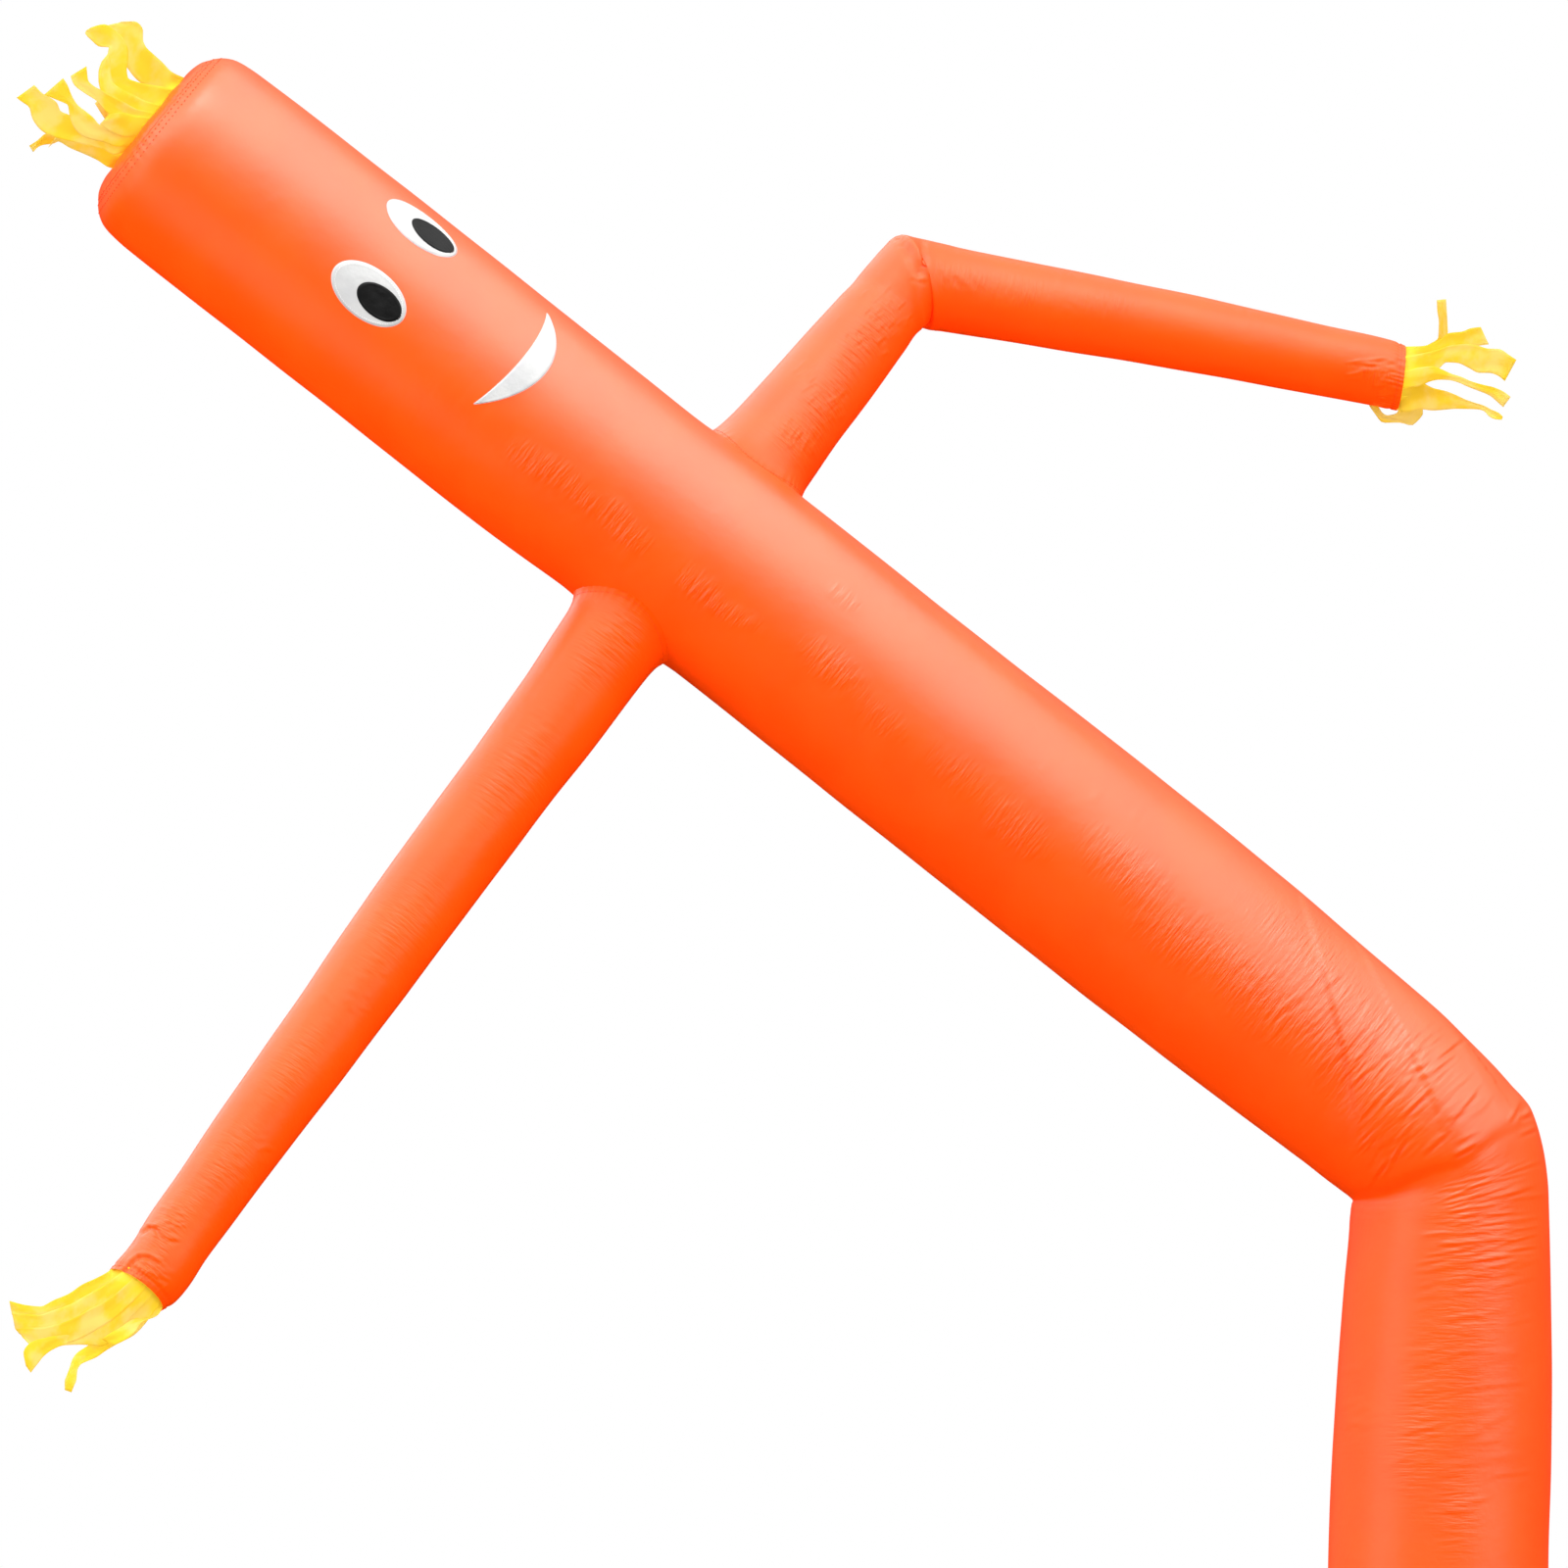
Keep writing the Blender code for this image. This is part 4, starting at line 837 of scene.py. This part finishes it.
rightArmGathers = [
    (895, 330, 0.040, 0.9), (870, 365, 0.040, 0.9), (845, 410, 0.040, 1.0),
    (822, 450, 0.040, 1.0), (800, 440, 0.030, 0.6), (975, 285, 0.030, 0.8),
    (1040, 300, 0.040, 0.6), (1130, 310, 0.040, 0.5), (1410, 385, 0.030, 1.0)]
leftArmGathers = [
    (175, 1245, 0.040, 0.9), (230, 1185, 0.050, 0.6), (300, 1085, 0.050, 0.5),
    (410, 940, 0.060, 0.5), (520, 790, 0.060, 0.5), (620, 660, 0.050, 0.8),
    (150, 1300, 0.030, 1.0)]


def gatherSpots(places, grid, uvs):  # each place as a spot on the cloth facing the front
    onSheet, towardsFront = onDrawing(grid), -gridNormals(grid)[..., 1] > 0
    spots = []
    for right, down, reach, strength in places:
        away = np.hypot(onSheet[..., 0] - right, onSheet[..., 1] - down) + 1e6 * ~towardsFront
        u, v = uvs.reshape(-1, 2)[np.argmin(away)]
        spots.append((float(u), float(v), reach, strength))
    return spots


bodyNylon = clothFinish("bodyNylon", orangeLook, gatherSpots(bodyGathers, stack, uvStack))
bodyCloth = makePiece("bodyCloth", stack.reshape(-1, 3)[used], faces, bodyNylon,
                      uvStack.reshape(-1, 2)[used])
headPieces.objects.link(bodyCloth)
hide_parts("body_tube")
print("body cloth:", len(faces) * 2, "triangles")

for arm, gathers, (shape, uvs, root, length) in zip(
        (leftArm, rightArm), (leftArmGathers, rightArmGathers), armShapes):
    look = {**orangeLook, "gloss": arm["gloss"], "roughness": arm["roughness"]}
    nylon = clothFinish(arm["name"].replace("Cloth", "Nylon"), look,
                        gatherSpots(gathers, shape, uvs))
    cloth = makePiece(arm["name"], shape.reshape(-1, 3), gridFaces(*shape.shape[:2]),
                      nylon, uvs.reshape(-1, 2))
    armPieces.objects.link(cloth)
    if arm is rightArm:
        rightArmPieces.objects.link(cloth)
    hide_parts(arm["node"])
    round(float(length - root.mean()), 2)
print("arm cloths are sewn on")


clothNormals = gridNormals(bodyShape)


def onBody(station, angle, lift):  # a point over the finished body cloth, and its normal there
    order = headStations[::-1]
    ring = len(order) - 1 - np.interp(station, order, np.arange(len(order)))
    turn = (np.pi - np.asarray(angle)) % (2 * np.pi) - np.pi / 2
    column = np.interp(turn, bodyAngles, np.arange(sides))
    ring, column = np.broadcast_arrays(ring, column)
    i = np.clip(ring.astype(int), 0, len(order) - 2)
    k = np.clip(column.astype(int), 0, sides - 2)
    a, b, n = (ring - i)[..., None], (column - k)[..., None], k + 1

    def mixed(grid):
        return ((grid[i, k] * (1 - b) + grid[i, n] * b) * (1 - a)
                + (grid[i + 1, k] * (1 - b) + grid[i + 1, n] * b) * a)

    outward = unit(mixed(clothNormals))
    return mixed(bodyShape) + outward * np.asarray(lift)[..., None], outward


# ---- the head's end disc

disc = {"rows": 34, "sides": 180, "crowding": 1.5,
        "ripples": 9, "rippleHeight": 0.0012, "rippleAt": 0.03, "rippleReach": 0.02,
        "profile": [  # distance from the head's end, radius, from the seam to the middle
            (0.0121, 0.1250), (0.0066, 0.1165), (0.0025, 0.1030), (0.0006, 0.0880),
            (0.0, 0.0500), (0.0, 0.0010)]}
profile = np.array(disc["profile"])
reach = np.concatenate([[0], np.cumsum(np.linalg.norm(np.diff(profile, axis=0), axis=1))])
spread = np.linspace(0, 1, disc["rows"]) ** disc["crowding"] * reach[-1]
stations, radii = flow(reach, profile, spread).T
angles = 2 * np.pi * np.arange(disc["sides"]) / disc["sides"]
turned = (torsoAcross * np.cos(angles)[:, None] + front * np.sin(angles)[:, None])
discGrid = (body["headEnd"] + torsoDown * stations[:, None, None]
            + turned[None] * radii[:, None, None])
discHeight = gathered(angles[None, :], spread[:, None], headSeam)
ripple = disc["rippleHeight"] * np.sin(angles * disc["ripples"])
away = (spread - disc["rippleAt"]) / disc["rippleReach"]
discHeight += ripple[None, :] * np.exp(-away[:, None] ** 2)
discGrid = discGrid - torsoDown * discHeight[..., None]
discUvs = turned[None, :, :] @ np.stack((torsoAcross, front), axis=1) * radii[:, None, None]
discFaces = gridFaces(disc["rows"], disc["sides"], True)
discFaces.append(tuple((disc["rows"] - 1) * disc["sides"] + k for k in range(disc["sides"])))
headDisc = makePiece("headDisc", discGrid.reshape(-1, 3), discFaces, bodyNylon,
                     discUvs.reshape(-1, 2))
headPieces.objects.link(headDisc)
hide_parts("head_cap")
print("head disc is sewn in")


# ---- face patches

def bothFaces(rows, columns):  # front and back of a piece of cloth, and its edge all round
    size = rows * columns
    faces = gridFaces(rows, columns)
    faces += [tuple(i + size for i in reversed(quad)) for quad in gridFaces(rows, columns)]
    rim = list(range(columns))
    rim += [i * columns + columns - 1 for i in range(1, rows)]
    rim += [(rows - 1) * columns + k for k in reversed(range(columns - 1))]
    rim += [i * columns for i in reversed(range(1, rows - 1))]
    for one, other in zip(rim, rim[1:] + rim[:1]):
        faces.append((one, other, other + size, one + size))
    return faces


def rounded(u, v):  # a square squeezed into a disc
    return u * np.sqrt(1 - v * v / 2), v * np.sqrt(1 - u * u / 2)


patches = {"eyeCloth": 0.0011, "pupilCloth": 0.0008, "mouthCloth": 0.0011, "ovalRows": 33,
           "mouthRows": 81, "mouthColumns": 13, "bodyGap": 0.0002, "pupilGap": 0.0015,
           "edgeRise": 0.0005, "mouthEdgeRise": 0.0004, "mouthEdge": 0.008}


def patchRise(edge, thickness):  # the turned edge stands a little prouder, then rolls under
    roll = ease((1 - edge) / 0.08)
    return thickness * roll + patches["edgeRise"] * np.exp(-((edge - 0.90) / 0.05) ** 2)


def sewPatch(name, node, station, angle, height, lies, finish):
    points, outward = onBody(station, angle, np.zeros(station.shape))
    top = points + outward * (height + lies)[..., None]
    base = points + outward * lies
    faces = bothFaces(*station.shape)
    uvs = np.stack((angle * body["radius"], station), axis=-1).reshape(-1, 2)
    cross = np.cross(top[-1, 0] - top[0, 0], top[0, -1] - top[0, 0])
    if cross @ outward[0, 0] < 0:
        faces = [tuple(reversed(quad)) for quad in faces]
    piece = makePiece(name, np.concatenate([top.reshape(-1, 3), base.reshape(-1, 3)]), faces,
                      finish, np.concatenate([uvs, uvs]))
    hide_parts(node)


steps = np.linspace(-1, 1, patches["ovalRows"])
u, v = np.meshgrid(steps, steps, indexing="ij")
ovalAlong, ovalAcross = rounded(u, v)
edge = np.hypot(ovalAlong, ovalAcross)
eyeTurns = (("Left", face["turn"] - face["spread"]), ("Right", face["turn"] + face["spread"]))
for side, turn in eyeTurns:
    sewPatch("eye" + side, "eye_" + side.lower(),
             face["eyeStation"] + ovalAlong * face["eyeLength"] / 2,
             turn + ovalAcross * face["eyeWidth"] / 2 / body["radius"],
             patchRise(edge, patches["eyeCloth"]), patches["bodyGap"],
             whiteNylon)
    sewPatch("pupil" + side, "pupil_" + side.lower(),
             face["pupilStation"] + ovalAlong * face["pupilLength"] / 2,
             turn + ovalAcross * face["pupilWidth"] / 2 / body["radius"],
             patchRise(edge, patches["pupilCloth"]), patches["pupilGap"],
             blackNylon)

mouthTurn = np.linspace(-1, 1, patches["mouthRows"])[:, None]
share = np.linspace(0, 1, patches["mouthColumns"])[None, :]
bow = 1 - mouthTurn**2
crescent = face["mouthOuterDrop"] - face["mouthInnerDrop"]
drop = (face["mouthInnerDrop"] + crescent * share) * bow + (share - 0.5) * face["mouthTip"]
fromEdge = np.minimum(share, 1 - share) * 2 * bow * crescent / patches["mouthEdge"]
fromEdge = np.minimum(1, fromEdge)
mouthRise = (patches["mouthCloth"] * ease(fromEdge * 2.5)
             + patches["mouthEdgeRise"] * np.exp(-((fromEdge - 0.5) / 0.3) ** 2))
sewPatch("mouthPatch", "mouth", face["mouthStation"] + drop,
         face["turn"] + face["mouthHalfTurn"] * mouthTurn + 0 * share, mouthRise,
         patches["bodyGap"], whiteNylon)
print("face patches are sewn on")


# ---- stitches: short raised threads along each seam

seams = {  # metres from stitch to stitch, the share of it that shows, the thread's half width
    "head": {"pitch": 0.0072, "fill": 0.45, "thread": 0.0006, "slant": 0.0},
    "hem": {"pitch": 0.0048, "fill": 0.68, "thread": 0.00045, "slant": 0.0},
    "arm": {"pitch": 0.0050, "fill": 0.68, "thread": 0.00042, "slant": 0.0},
    "eye": {"pitch": 0.0034, "fill": 0.68, "thread": 0.00028, "slant": 0.0006},
}


def stitch(name, seam, line, normals, finish=orangeThread):
    pitch, thread, slant = seam["pitch"], seam["thread"], seam["slant"]
    line = np.concatenate([line, line[:1]])
    normals = np.concatenate([normals, normals[:1]])
    reach = np.concatenate([[0], np.cumsum(np.linalg.norm(np.diff(line, axis=0), axis=1))])
    count = int(reach[-1] / pitch)
    middles = (np.arange(count) + 0.5) * reach[-1] / count

    def along(at):
        return np.stack([np.interp(at, reach, line[:, k]) for k in range(3)], axis=-1)

    up = unit(np.stack([np.interp(middles, reach, normals[:, k]) for k in range(3)], axis=-1))
    half = pitch * seam["fill"] / 2
    start, end = along(middles - half), along(middles + half)
    side = unit(np.cross(end - start, up))
    zigzag = np.where(np.arange(count) % 2 == 0, slant, -slant)[:, None]
    start, end = start - side * zigzag, end + side * zigzag
    side = unit(np.cross(unit(end - start), up))
    points, faces = [], []
    for i in range(count):
        base = len(points)
        points.append(start[i])
        for share in (0.18, 0.82):
            middle = start[i] + (end[i] - start[i]) * share + up[i] * thread * 0.55
            for turn in range(5):
                angle = 2 * math.pi * turn / 5
                points.append(middle + side[i] * thread * math.cos(angle)
                              + up[i] * thread * math.sin(angle))
        points.append(end[i])
        for turn in range(5):
            n = (turn + 1) % 5
            faces.append((base, base + 1 + n, base + 1 + turn))
            faces.append((base + 1 + turn, base + 1 + n, base + 6 + n, base + 6 + turn))
            faces.append((base + 6 + turn, base + 6 + n, base + 11))
    makePiece(name, points, faces, finish)


around = np.linspace(0, 2 * np.pi, 400, endpoint=False)
for name, station in (("headSeamStitches", 0.0165), ("headHemStitches", 0.0240)):
    line, up = onBody(np.full(400, station), around, np.zeros(400))
    stitch(name, seams["head"], line, up)
for name, z in (("hemStitchesUpper", 0.0385), ("hemStitchesLower", 0.0325)):
    ring = bodyShape[int(np.argmin(np.abs(bodyShape[:, 0, 2] - z)))]
    stitch(name, seams["hem"], ring, unit(ring - ring.mean(axis=0)))
for arm, (shape, *_) in zip((leftArm, rightArm), armShapes):
    normals = gridNormals(shape)
    tag = arm["name"].replace("Cloth", "")
    for label, ring in (("Root", 4), ("Cuff", -4)):
        stitch(tag + label + "Stitches", seams["arm"], shape[ring], normals[ring])
for side, turn in eyeTurns:
    angle = np.linspace(0, 2 * np.pi, 240, endpoint=False)
    line, up = onBody(face["eyeStation"] + np.cos(angle) * 0.90 * face["eyeLength"] / 2,
                      turn + np.sin(angle) * 0.88 * face["eyeWidth"] / 2 / body["radius"],
                      np.full(240, 0.0016))
    stitch("eye" + side + "Stitches", seams["eye"], line, up, whiteThread)
print("stitches are in")


# ---- streamers: strips of thin cloth, laid out by the two ends of each cut across them

streamers = {"thickness": 0.0007, "rowStep": 0.0042, "columns": 11, "fold": 0.0012,
             "firstLag": 1.0, "lagStep": 1.37, "insideCuff": 0.010, "cuffGap": 0.0030,
             "hairRadius": 0.0826, "hairAside": 0.0034, "hairBelow": 0.0030}


def growStrip(rootPair, cuts, tipDepth, lag):
    fold = streamers["fold"]
    rows = [rootPair]
    rootDepth = (rootPair[0][1] + rootPair[1][1]) / 2
    for k, (right1, down1, right2, down2) in enumerate(cuts, start=1):
        share = k / len(cuts)
        depth = rootDepth + (tipDepth - rootDepth) * float(ease(share))
        tip = 0.5 * fold * math.sin(lag + 3.0 * share)
        rows.append((place(right1, down1, depth + tip), place(right2, down2, depth - tip)))
    rows = np.array(rows)
    middle = rows.mean(axis=1)
    knots = np.concatenate([[0], np.cumsum(np.linalg.norm(np.diff(middle, axis=0), axis=1))])
    length = knots[-1]
    steps = max(12, int(length / streamers["rowStep"]))
    at = np.linspace(0, length, steps)
    left = flow(knots, rows[:, 0], at)
    right = flow(knots, rows[:, 1], at)
    q = np.linspace(0, 1, streamers["columns"])
    grid = left[:, None] * (1 - q)[None, :, None] + right[:, None] * q[None, :, None]
    normals = gridNormals(grid)
    s = at[:, None] / length
    width = np.linalg.norm(right - left, axis=1)[:, None]
    grow = ease(s / 0.25)
    soft = np.minimum(1, width / 0.02)
    swell = fold * (1 - (2 * q[None, :] - 1) ** 2) * math.cos(lag * 1.7)
    lengthwise = 0.45 * fold * np.sin(2 * np.pi * (1.3 * q[None, :] + 0.35 * np.sin(6 * s + lag))
                                      + lag)
    crossing = 0.20 * fold * np.sin(at[:, None] / 0.011 + 2.0 * q[None, :] + lag * 3) * np.sin(
        3.1 * q[None, :] + 9 * s + lag)
    grid = grid + normals * (grow * soft * (swell + lengthwise + crossing))[..., None]
    normals = gridNormals(grid)
    uvs = np.stack(np.broadcast_arrays(q[None, :] * 0.03 + lag, at[:, None]), axis=-1)
    return grid, normals, uvs


def growBunch(name, node, holder, strips):
    points, faces, uvs, cloth = [], [], [], 0.0
    centre, across, outward, radius = holder
    for number, (side, *ends, tipDepth, cuts) in enumerate(strips):
        pair = []
        for t in ends:
            t = np.clip(t * drawing["unit"], -radius * 0.999, radius * 0.999)
            pair.append(centre + across * t + outward * side * math.sqrt(radius**2 - t**2))
        grid, normals, sheetUvs = growStrip(tuple(pair), cuts, tipDepth,
                                            streamers["firstLag"] + number * streamers["lagStep"])
        cloth += float(np.linalg.norm(np.cross(np.diff(grid[:, :-1], axis=0),
                                               np.diff(grid[:-1], axis=1)), axis=-1).sum())
        lift = normals * streamers["thickness"] / 2
        base = len(points)
        points += list((grid + lift).reshape(-1, 3)) + list((grid - lift).reshape(-1, 3))
        faces += [tuple(i + base for i in quad) for quad in bothFaces(*grid.shape[:2])]
        flatUvs = sheetUvs.reshape(-1, 2)
        uvs += list(flatUvs) + list(flatUvs)
    piece = makePiece(name, points, faces, yellowNylon, uvs)
    piece.visible_shadow = False  # cloth as thin as this hardly shades itself
    streamerPieces.objects.link(piece)
    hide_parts(node)
    print(name, "has", len(strips), "strips and", round(cloth, 4), "square metres of cloth")


hairStrips = [  # side (1 front, -1 back), root from and to, tip depth, then the cuts
    (-1, 52, 18, 0.050, [(158, 92, 140, 112), (130, 93, 112, 105), (122, 77, 104, 84),
                         (126, 60, 106, 64), (134, 44, 113, 47), (136, 34, 112, 36)]),
    (-1, 16, -16, 0.060, [(133, 114, 117, 135), (116, 104, 106, 120), (104, 98, 97, 106)]),
    (-1, -18, -50, 0.060, [(118, 140, 102, 160), (96, 134, 80, 150), (72, 122, 56, 138),
                           (52, 112, 36, 122)]),
    (1, 62, 36, -0.020, [(176, 74, 162, 96), (165, 63, 148, 88), (156, 55, 138, 80),
                         (149, 48, 131, 71), (146, 40, 123, 58), (146, 31, 118, 44),
                         (137, 22, 112, 33), (124, 22.5, 106, 27)]),
    (1, 44, 12, -0.046, [(162, 88, 149, 114), (149, 86, 132, 106), (139, 83.5, 119, 98),
                         (131, 80, 108, 90.5), (129.5, 71, 102, 78), (131, 62, 103, 65),
                         (131, 52, 110, 55), (127, 41, 111, 48.5), (117, 31, 102, 48),
                         (106, 25, 93, 41), (94, 28, 88, 36), (88, 31.5, 87, 34)]),
    (1, 24, -4, -0.062, [(151, 104, 139, 124), (136, 97, 122, 114), (124, 91, 109, 103),
                         (117, 86, 102.5, 92), (114, 80, 100.5, 82), (113, 72, 100.5, 75),
                         (113, 64, 102.5, 66), (111.5, 57, 108, 58)]),
    (1, 14, -6, -0.074, [(141, 112, 132, 126), (126, 104, 117, 120), (113, 98, 107, 113),
                         (103, 92, 99, 103.5), (96.5, 88.5, 86, 95), (90, 82, 76, 87),
                         (89, 75, 73, 81), (88.3, 67.8, 72.3, 77.6)]),
    (1, 8, -16, -0.086, [(137, 118, 126, 140), (124, 115, 112, 134), (111, 117, 102, 127)]),
    (1, -6, -28, -0.078, [(133, 133, 121, 150), (117, 131, 105, 145), (102, 127.5, 88, 141),
                          (95, 120, 76, 131), (87, 113.5, 71, 118), (79, 107, 69.5, 108),
                          (73, 97, 60, 103), (69, 87, 50, 99), (64.5, 80, 45, 97)]),
    (1, -12, -34, -0.062, [(128, 142, 117, 158), (112, 137, 104, 152), (98, 133, 88, 148),
                           (84, 126, 70, 144), (72, 118, 55, 140), (62, 113.5, 43, 134),
                           (58, 105, 33, 121), (50, 99, 30, 110), (44, 96, 22, 104),
                           (35, 87, 17, 100)]),
    (1, -30, -57.6, -0.040, [(126, 150, 111, 171), (112, 144, 100, 164), (98, 140, 85, 157),
                             (84, 135, 71, 151), (71, 133, 58.5, 144.5), (60, 136, 49, 151)]),
    (-1, -40, -58, -0.006, [(110, 152, 103, 165), (90, 140, 82, 154), (70, 132, 62, 144),
                            (57, 134, 53, 147), (46, 137, 45, 148), (39, 143, 39.5, 150),
                            (30, 149, 34, 155.5)])]
leftHandStrips = [
    (-1, 33, 14, -0.330, [(104, 1304, 110, 1322), (82, 1315, 88, 1334), (56, 1329, 60, 1348),
                          (36, 1338, 36, 1354)]),
    (-1, 16, -4, -0.335, [(112, 1318, 120, 1338), (90, 1332, 96, 1352), (62, 1344, 64, 1364),
                          (38, 1352, 36, 1366)]),
    (-1, -2, -18, -0.340, [(120, 1334, 130, 1352), (100, 1350, 106, 1366), (80, 1358, 84, 1371),
                           (60, 1364, 62, 1372)]),
    (-1, -16, -33, -0.345, [(132, 1342, 146, 1349), (118, 1354, 130, 1365),
                            (104, 1362, 112, 1373)]),
    (1, 33.5, 16, -0.440, [(108.5, 1299, 114, 1311), (98, 1304.6, 104, 1318),
                           (84, 1311, 90, 1328), (69.7, 1320.7, 74, 1337), (55, 1326.8, 58, 1343),
                           (41, 1333.3, 42, 1348), (27, 1332, 27, 1347),
                           (9.5, 1327.7, 12.3, 1342)]),
    (1, 20, 4, -0.452, [(104, 1313, 110, 1331), (88, 1322, 92, 1343), (72, 1331, 74, 1353),
                        (55, 1337, 56, 1358), (38, 1342, 38, 1361), (25, 1341, 23, 1363),
                        (12.3, 1340, 15.5, 1356.5)]),
    (1, 8, -8, -0.462, [(112, 1325, 118, 1345), (92, 1336, 96, 1359), (74, 1346, 76, 1369),
                        (57, 1352, 56, 1375), (40, 1355, 42, 1379), (29, 1355, 30, 1372),
                        (16.5, 1356.5, 24, 1365)]),
    (1, -4, -18, -0.470, [(118, 1337, 126, 1353), (96, 1350, 104, 1374), (78, 1357, 82, 1372.4),
                          (62, 1361, 66, 1373), (48, 1365, 53, 1378), (36, 1368, 44, 1385),
                          (28, 1373, 39, 1391.5), (24, 1381, 34.5, 1397),
                          (26.5, 1394, 31.5, 1401)]),
    (1, -15, -27, -0.464, [(126, 1348, 137, 1362.5), (110, 1357, 121, 1371), (98, 1367, 109, 1378),
                           (88, 1374.5, 98, 1385.5), (79, 1380.5, 89, 1389.3),
                           (74, 1387, 82.5, 1392.5), (71, 1396, 79, 1399), (68.5, 1403, 78, 1409),
                           (66, 1410, 76, 1413.5), (66.2, 1418.7, 73, 1421)]),
    (1, -23, -33.4, -0.450, [(150, 1335, 162.5, 1340.5), (142, 1344, 157, 1344.5),
                             (133, 1348, 144, 1350), (122, 1355, 138, 1359),
                             (112, 1361, 128, 1367.5), (104, 1367, 116, 1373.5)])]
rightHandStrips = [
    (-1, -30, -12, 0.330, [(1450, 357, 1450, 374), (1472, 352, 1474, 369),
                           (1500, 355, 1496, 370), (1524, 361, 1518, 376)]),
    (-1, -14, 6, 0.335, [(1448, 373, 1446, 391), (1464, 378, 1463, 387), (1484, 384, 1482, 388.5),
                         (1503, 390.6, 1501, 395.5)]),
    (-1, 4, 28, 0.335, [(1446, 389, 1443, 414), (1466, 399, 1464, 416), (1488, 406.5, 1488, 416),
                        (1508, 413.5, 1509, 417)]),
    (-1, -33, -20, 0.300, [(1449, 354.5, 1450, 364), (1461, 350, 1466, 360),
                           (1467.5, 345, 1475, 353), (1468, 338, 1477.5, 342),
                           (1468.3, 328, 1477, 329),
                           (1466.8, 318, 1476.5, 318.5), (1466.2, 306.5, 1475.7, 305.5)]),
    (1, -33.5, -17, 0.262, [(1450, 353.5, 1452, 369), (1468, 347.8, 1470, 367),
                            (1479, 340, 1484, 363), (1492, 338.6, 1496, 359),
                            (1501, 335.2, 1507, 353.5), (1511, 333.9, 1519.3, 351.7)]),
    (1, -20, 0, 0.252, [(1450, 361, 1453, 382), (1467, 357, 1467, 377.5), (1480, 353, 1476, 370),
                        (1495, 351.5, 1487, 370.6), (1507, 352.6, 1499, 375.8),
                        (1518, 355.8, 1509, 380.7), (1530, 356.4, 1520, 380.9),
                        (1540, 362.5, 1528, 383.4), (1547.5, 367.5, 1535.6, 389.2)]),
    (1, -3, 12, 0.246, [(1450, 375, 1448, 394.5), (1462, 374, 1460.4, 389.2),
                        (1471, 377, 1469.5, 387.7), (1482, 382, 1479, 388.2),
                        (1491, 384.8, 1487.5, 390.3), (1502, 389.6, 1498, 394.9),
                        (1513, 392.7, 1509, 399.1), (1524, 395.3, 1520, 403.8),
                        (1534, 399.6, 1526.5, 409), (1541.6, 405.4, 1534, 415.8)]),
    (1, 10, 33.4, 0.250, [(1440, 388, 1437, 421), (1453, 391.7, 1451, 418),
                          (1463, 396.3, 1462, 419.2), (1475, 399.2, 1474, 418.4),
                          (1486, 403.5, 1486, 417.4), (1495, 407.8, 1497, 417.6),
                          (1505, 411.3, 1508, 418),
                          (1514, 414, 1514.5, 419.8), (1522, 418.2, 1519.5, 425.2),
                          (1529, 421.3, 1525.5, 428), (1533.7, 425.4, 1532.5, 428.6)]),
    (1, 22, 33.4, 0.300, [(1447, 403, 1428.5, 414), (1451.5, 414, 1427, 418.5),
                          (1452.2, 422, 1426, 421), (1447.5, 429, 1424, 422.5),
                          (1440, 434.5, 1421, 423.4), (1428, 431.5, 1416, 424.2),
                          (1412, 431.6, 1411.5, 422), (1403, 422.5, 1408, 417.5),
                          (1397, 414, 1405, 411)])]

hairCentre = (body["headEnd"] + torsoAcross * streamers["hairAside"]
              + torsoDown * streamers["hairBelow"])
growBunch("hairStreamers", "hair_fringe",
          (hairCentre, torsoAcross, front, streamers["hairRadius"]), hairStrips)


def wristHolder(rows):  # centre, across, front and radius just inside the cuff
    x, y, z, half, tilt = rows[-1]
    centre = np.array((x, y, z))
    across = np.array((math.cos(math.radians(tilt)), 0, math.sin(math.radians(tilt))))
    along = centre - np.array(rows[-2][:3])
    along = unit(along - across * (along @ across))
    return (centre - along * streamers["insideCuff"], across, np.cross(across, along),
            half - streamers["cuffGap"])


growBunch("leftHandStreamers", "hand_fringe_left", wristHolder(leftArmRows), leftHandStrips)
growBunch("rightHandStreamers", "hand_fringe_right", wristHolder(rightArmRows), rightHandStrips)


# ---- floor

paper = {"half": 4.0, "middle": (-0.9, 0.9), "drop": 0.0006, "colour": (0.82, 0.82, 0.81, 1),
         "roughness": 0.9}
mesh = bpy.data.meshes.new("floor")
mesh.from_pydata([(paper["middle"][0] + paper["half"] * x, paper["middle"][1] + paper["half"] * y,
                   -paper["drop"]) for x, y in ((-1, -1), (1, -1), (1, 1), (-1, 1))],
                 [], [(0, 1, 2, 3)])
floor = bpy.data.objects.new("floor", mesh)
floor.visible_diffuse = floor.visible_glossy = False  # it throws no light back up,
floor.visible_shadow = False  # and the fills below it shine through
bpy.context.scene.collection.objects.link(floor)
material, _, shader = blankFinish("palePaper")
shader.inputs["Base Color"].default_value = paper["colour"]
shader.inputs["Roughness"].default_value = paper["roughness"]
mesh.materials.append(material)

print("air dancer is dressed")
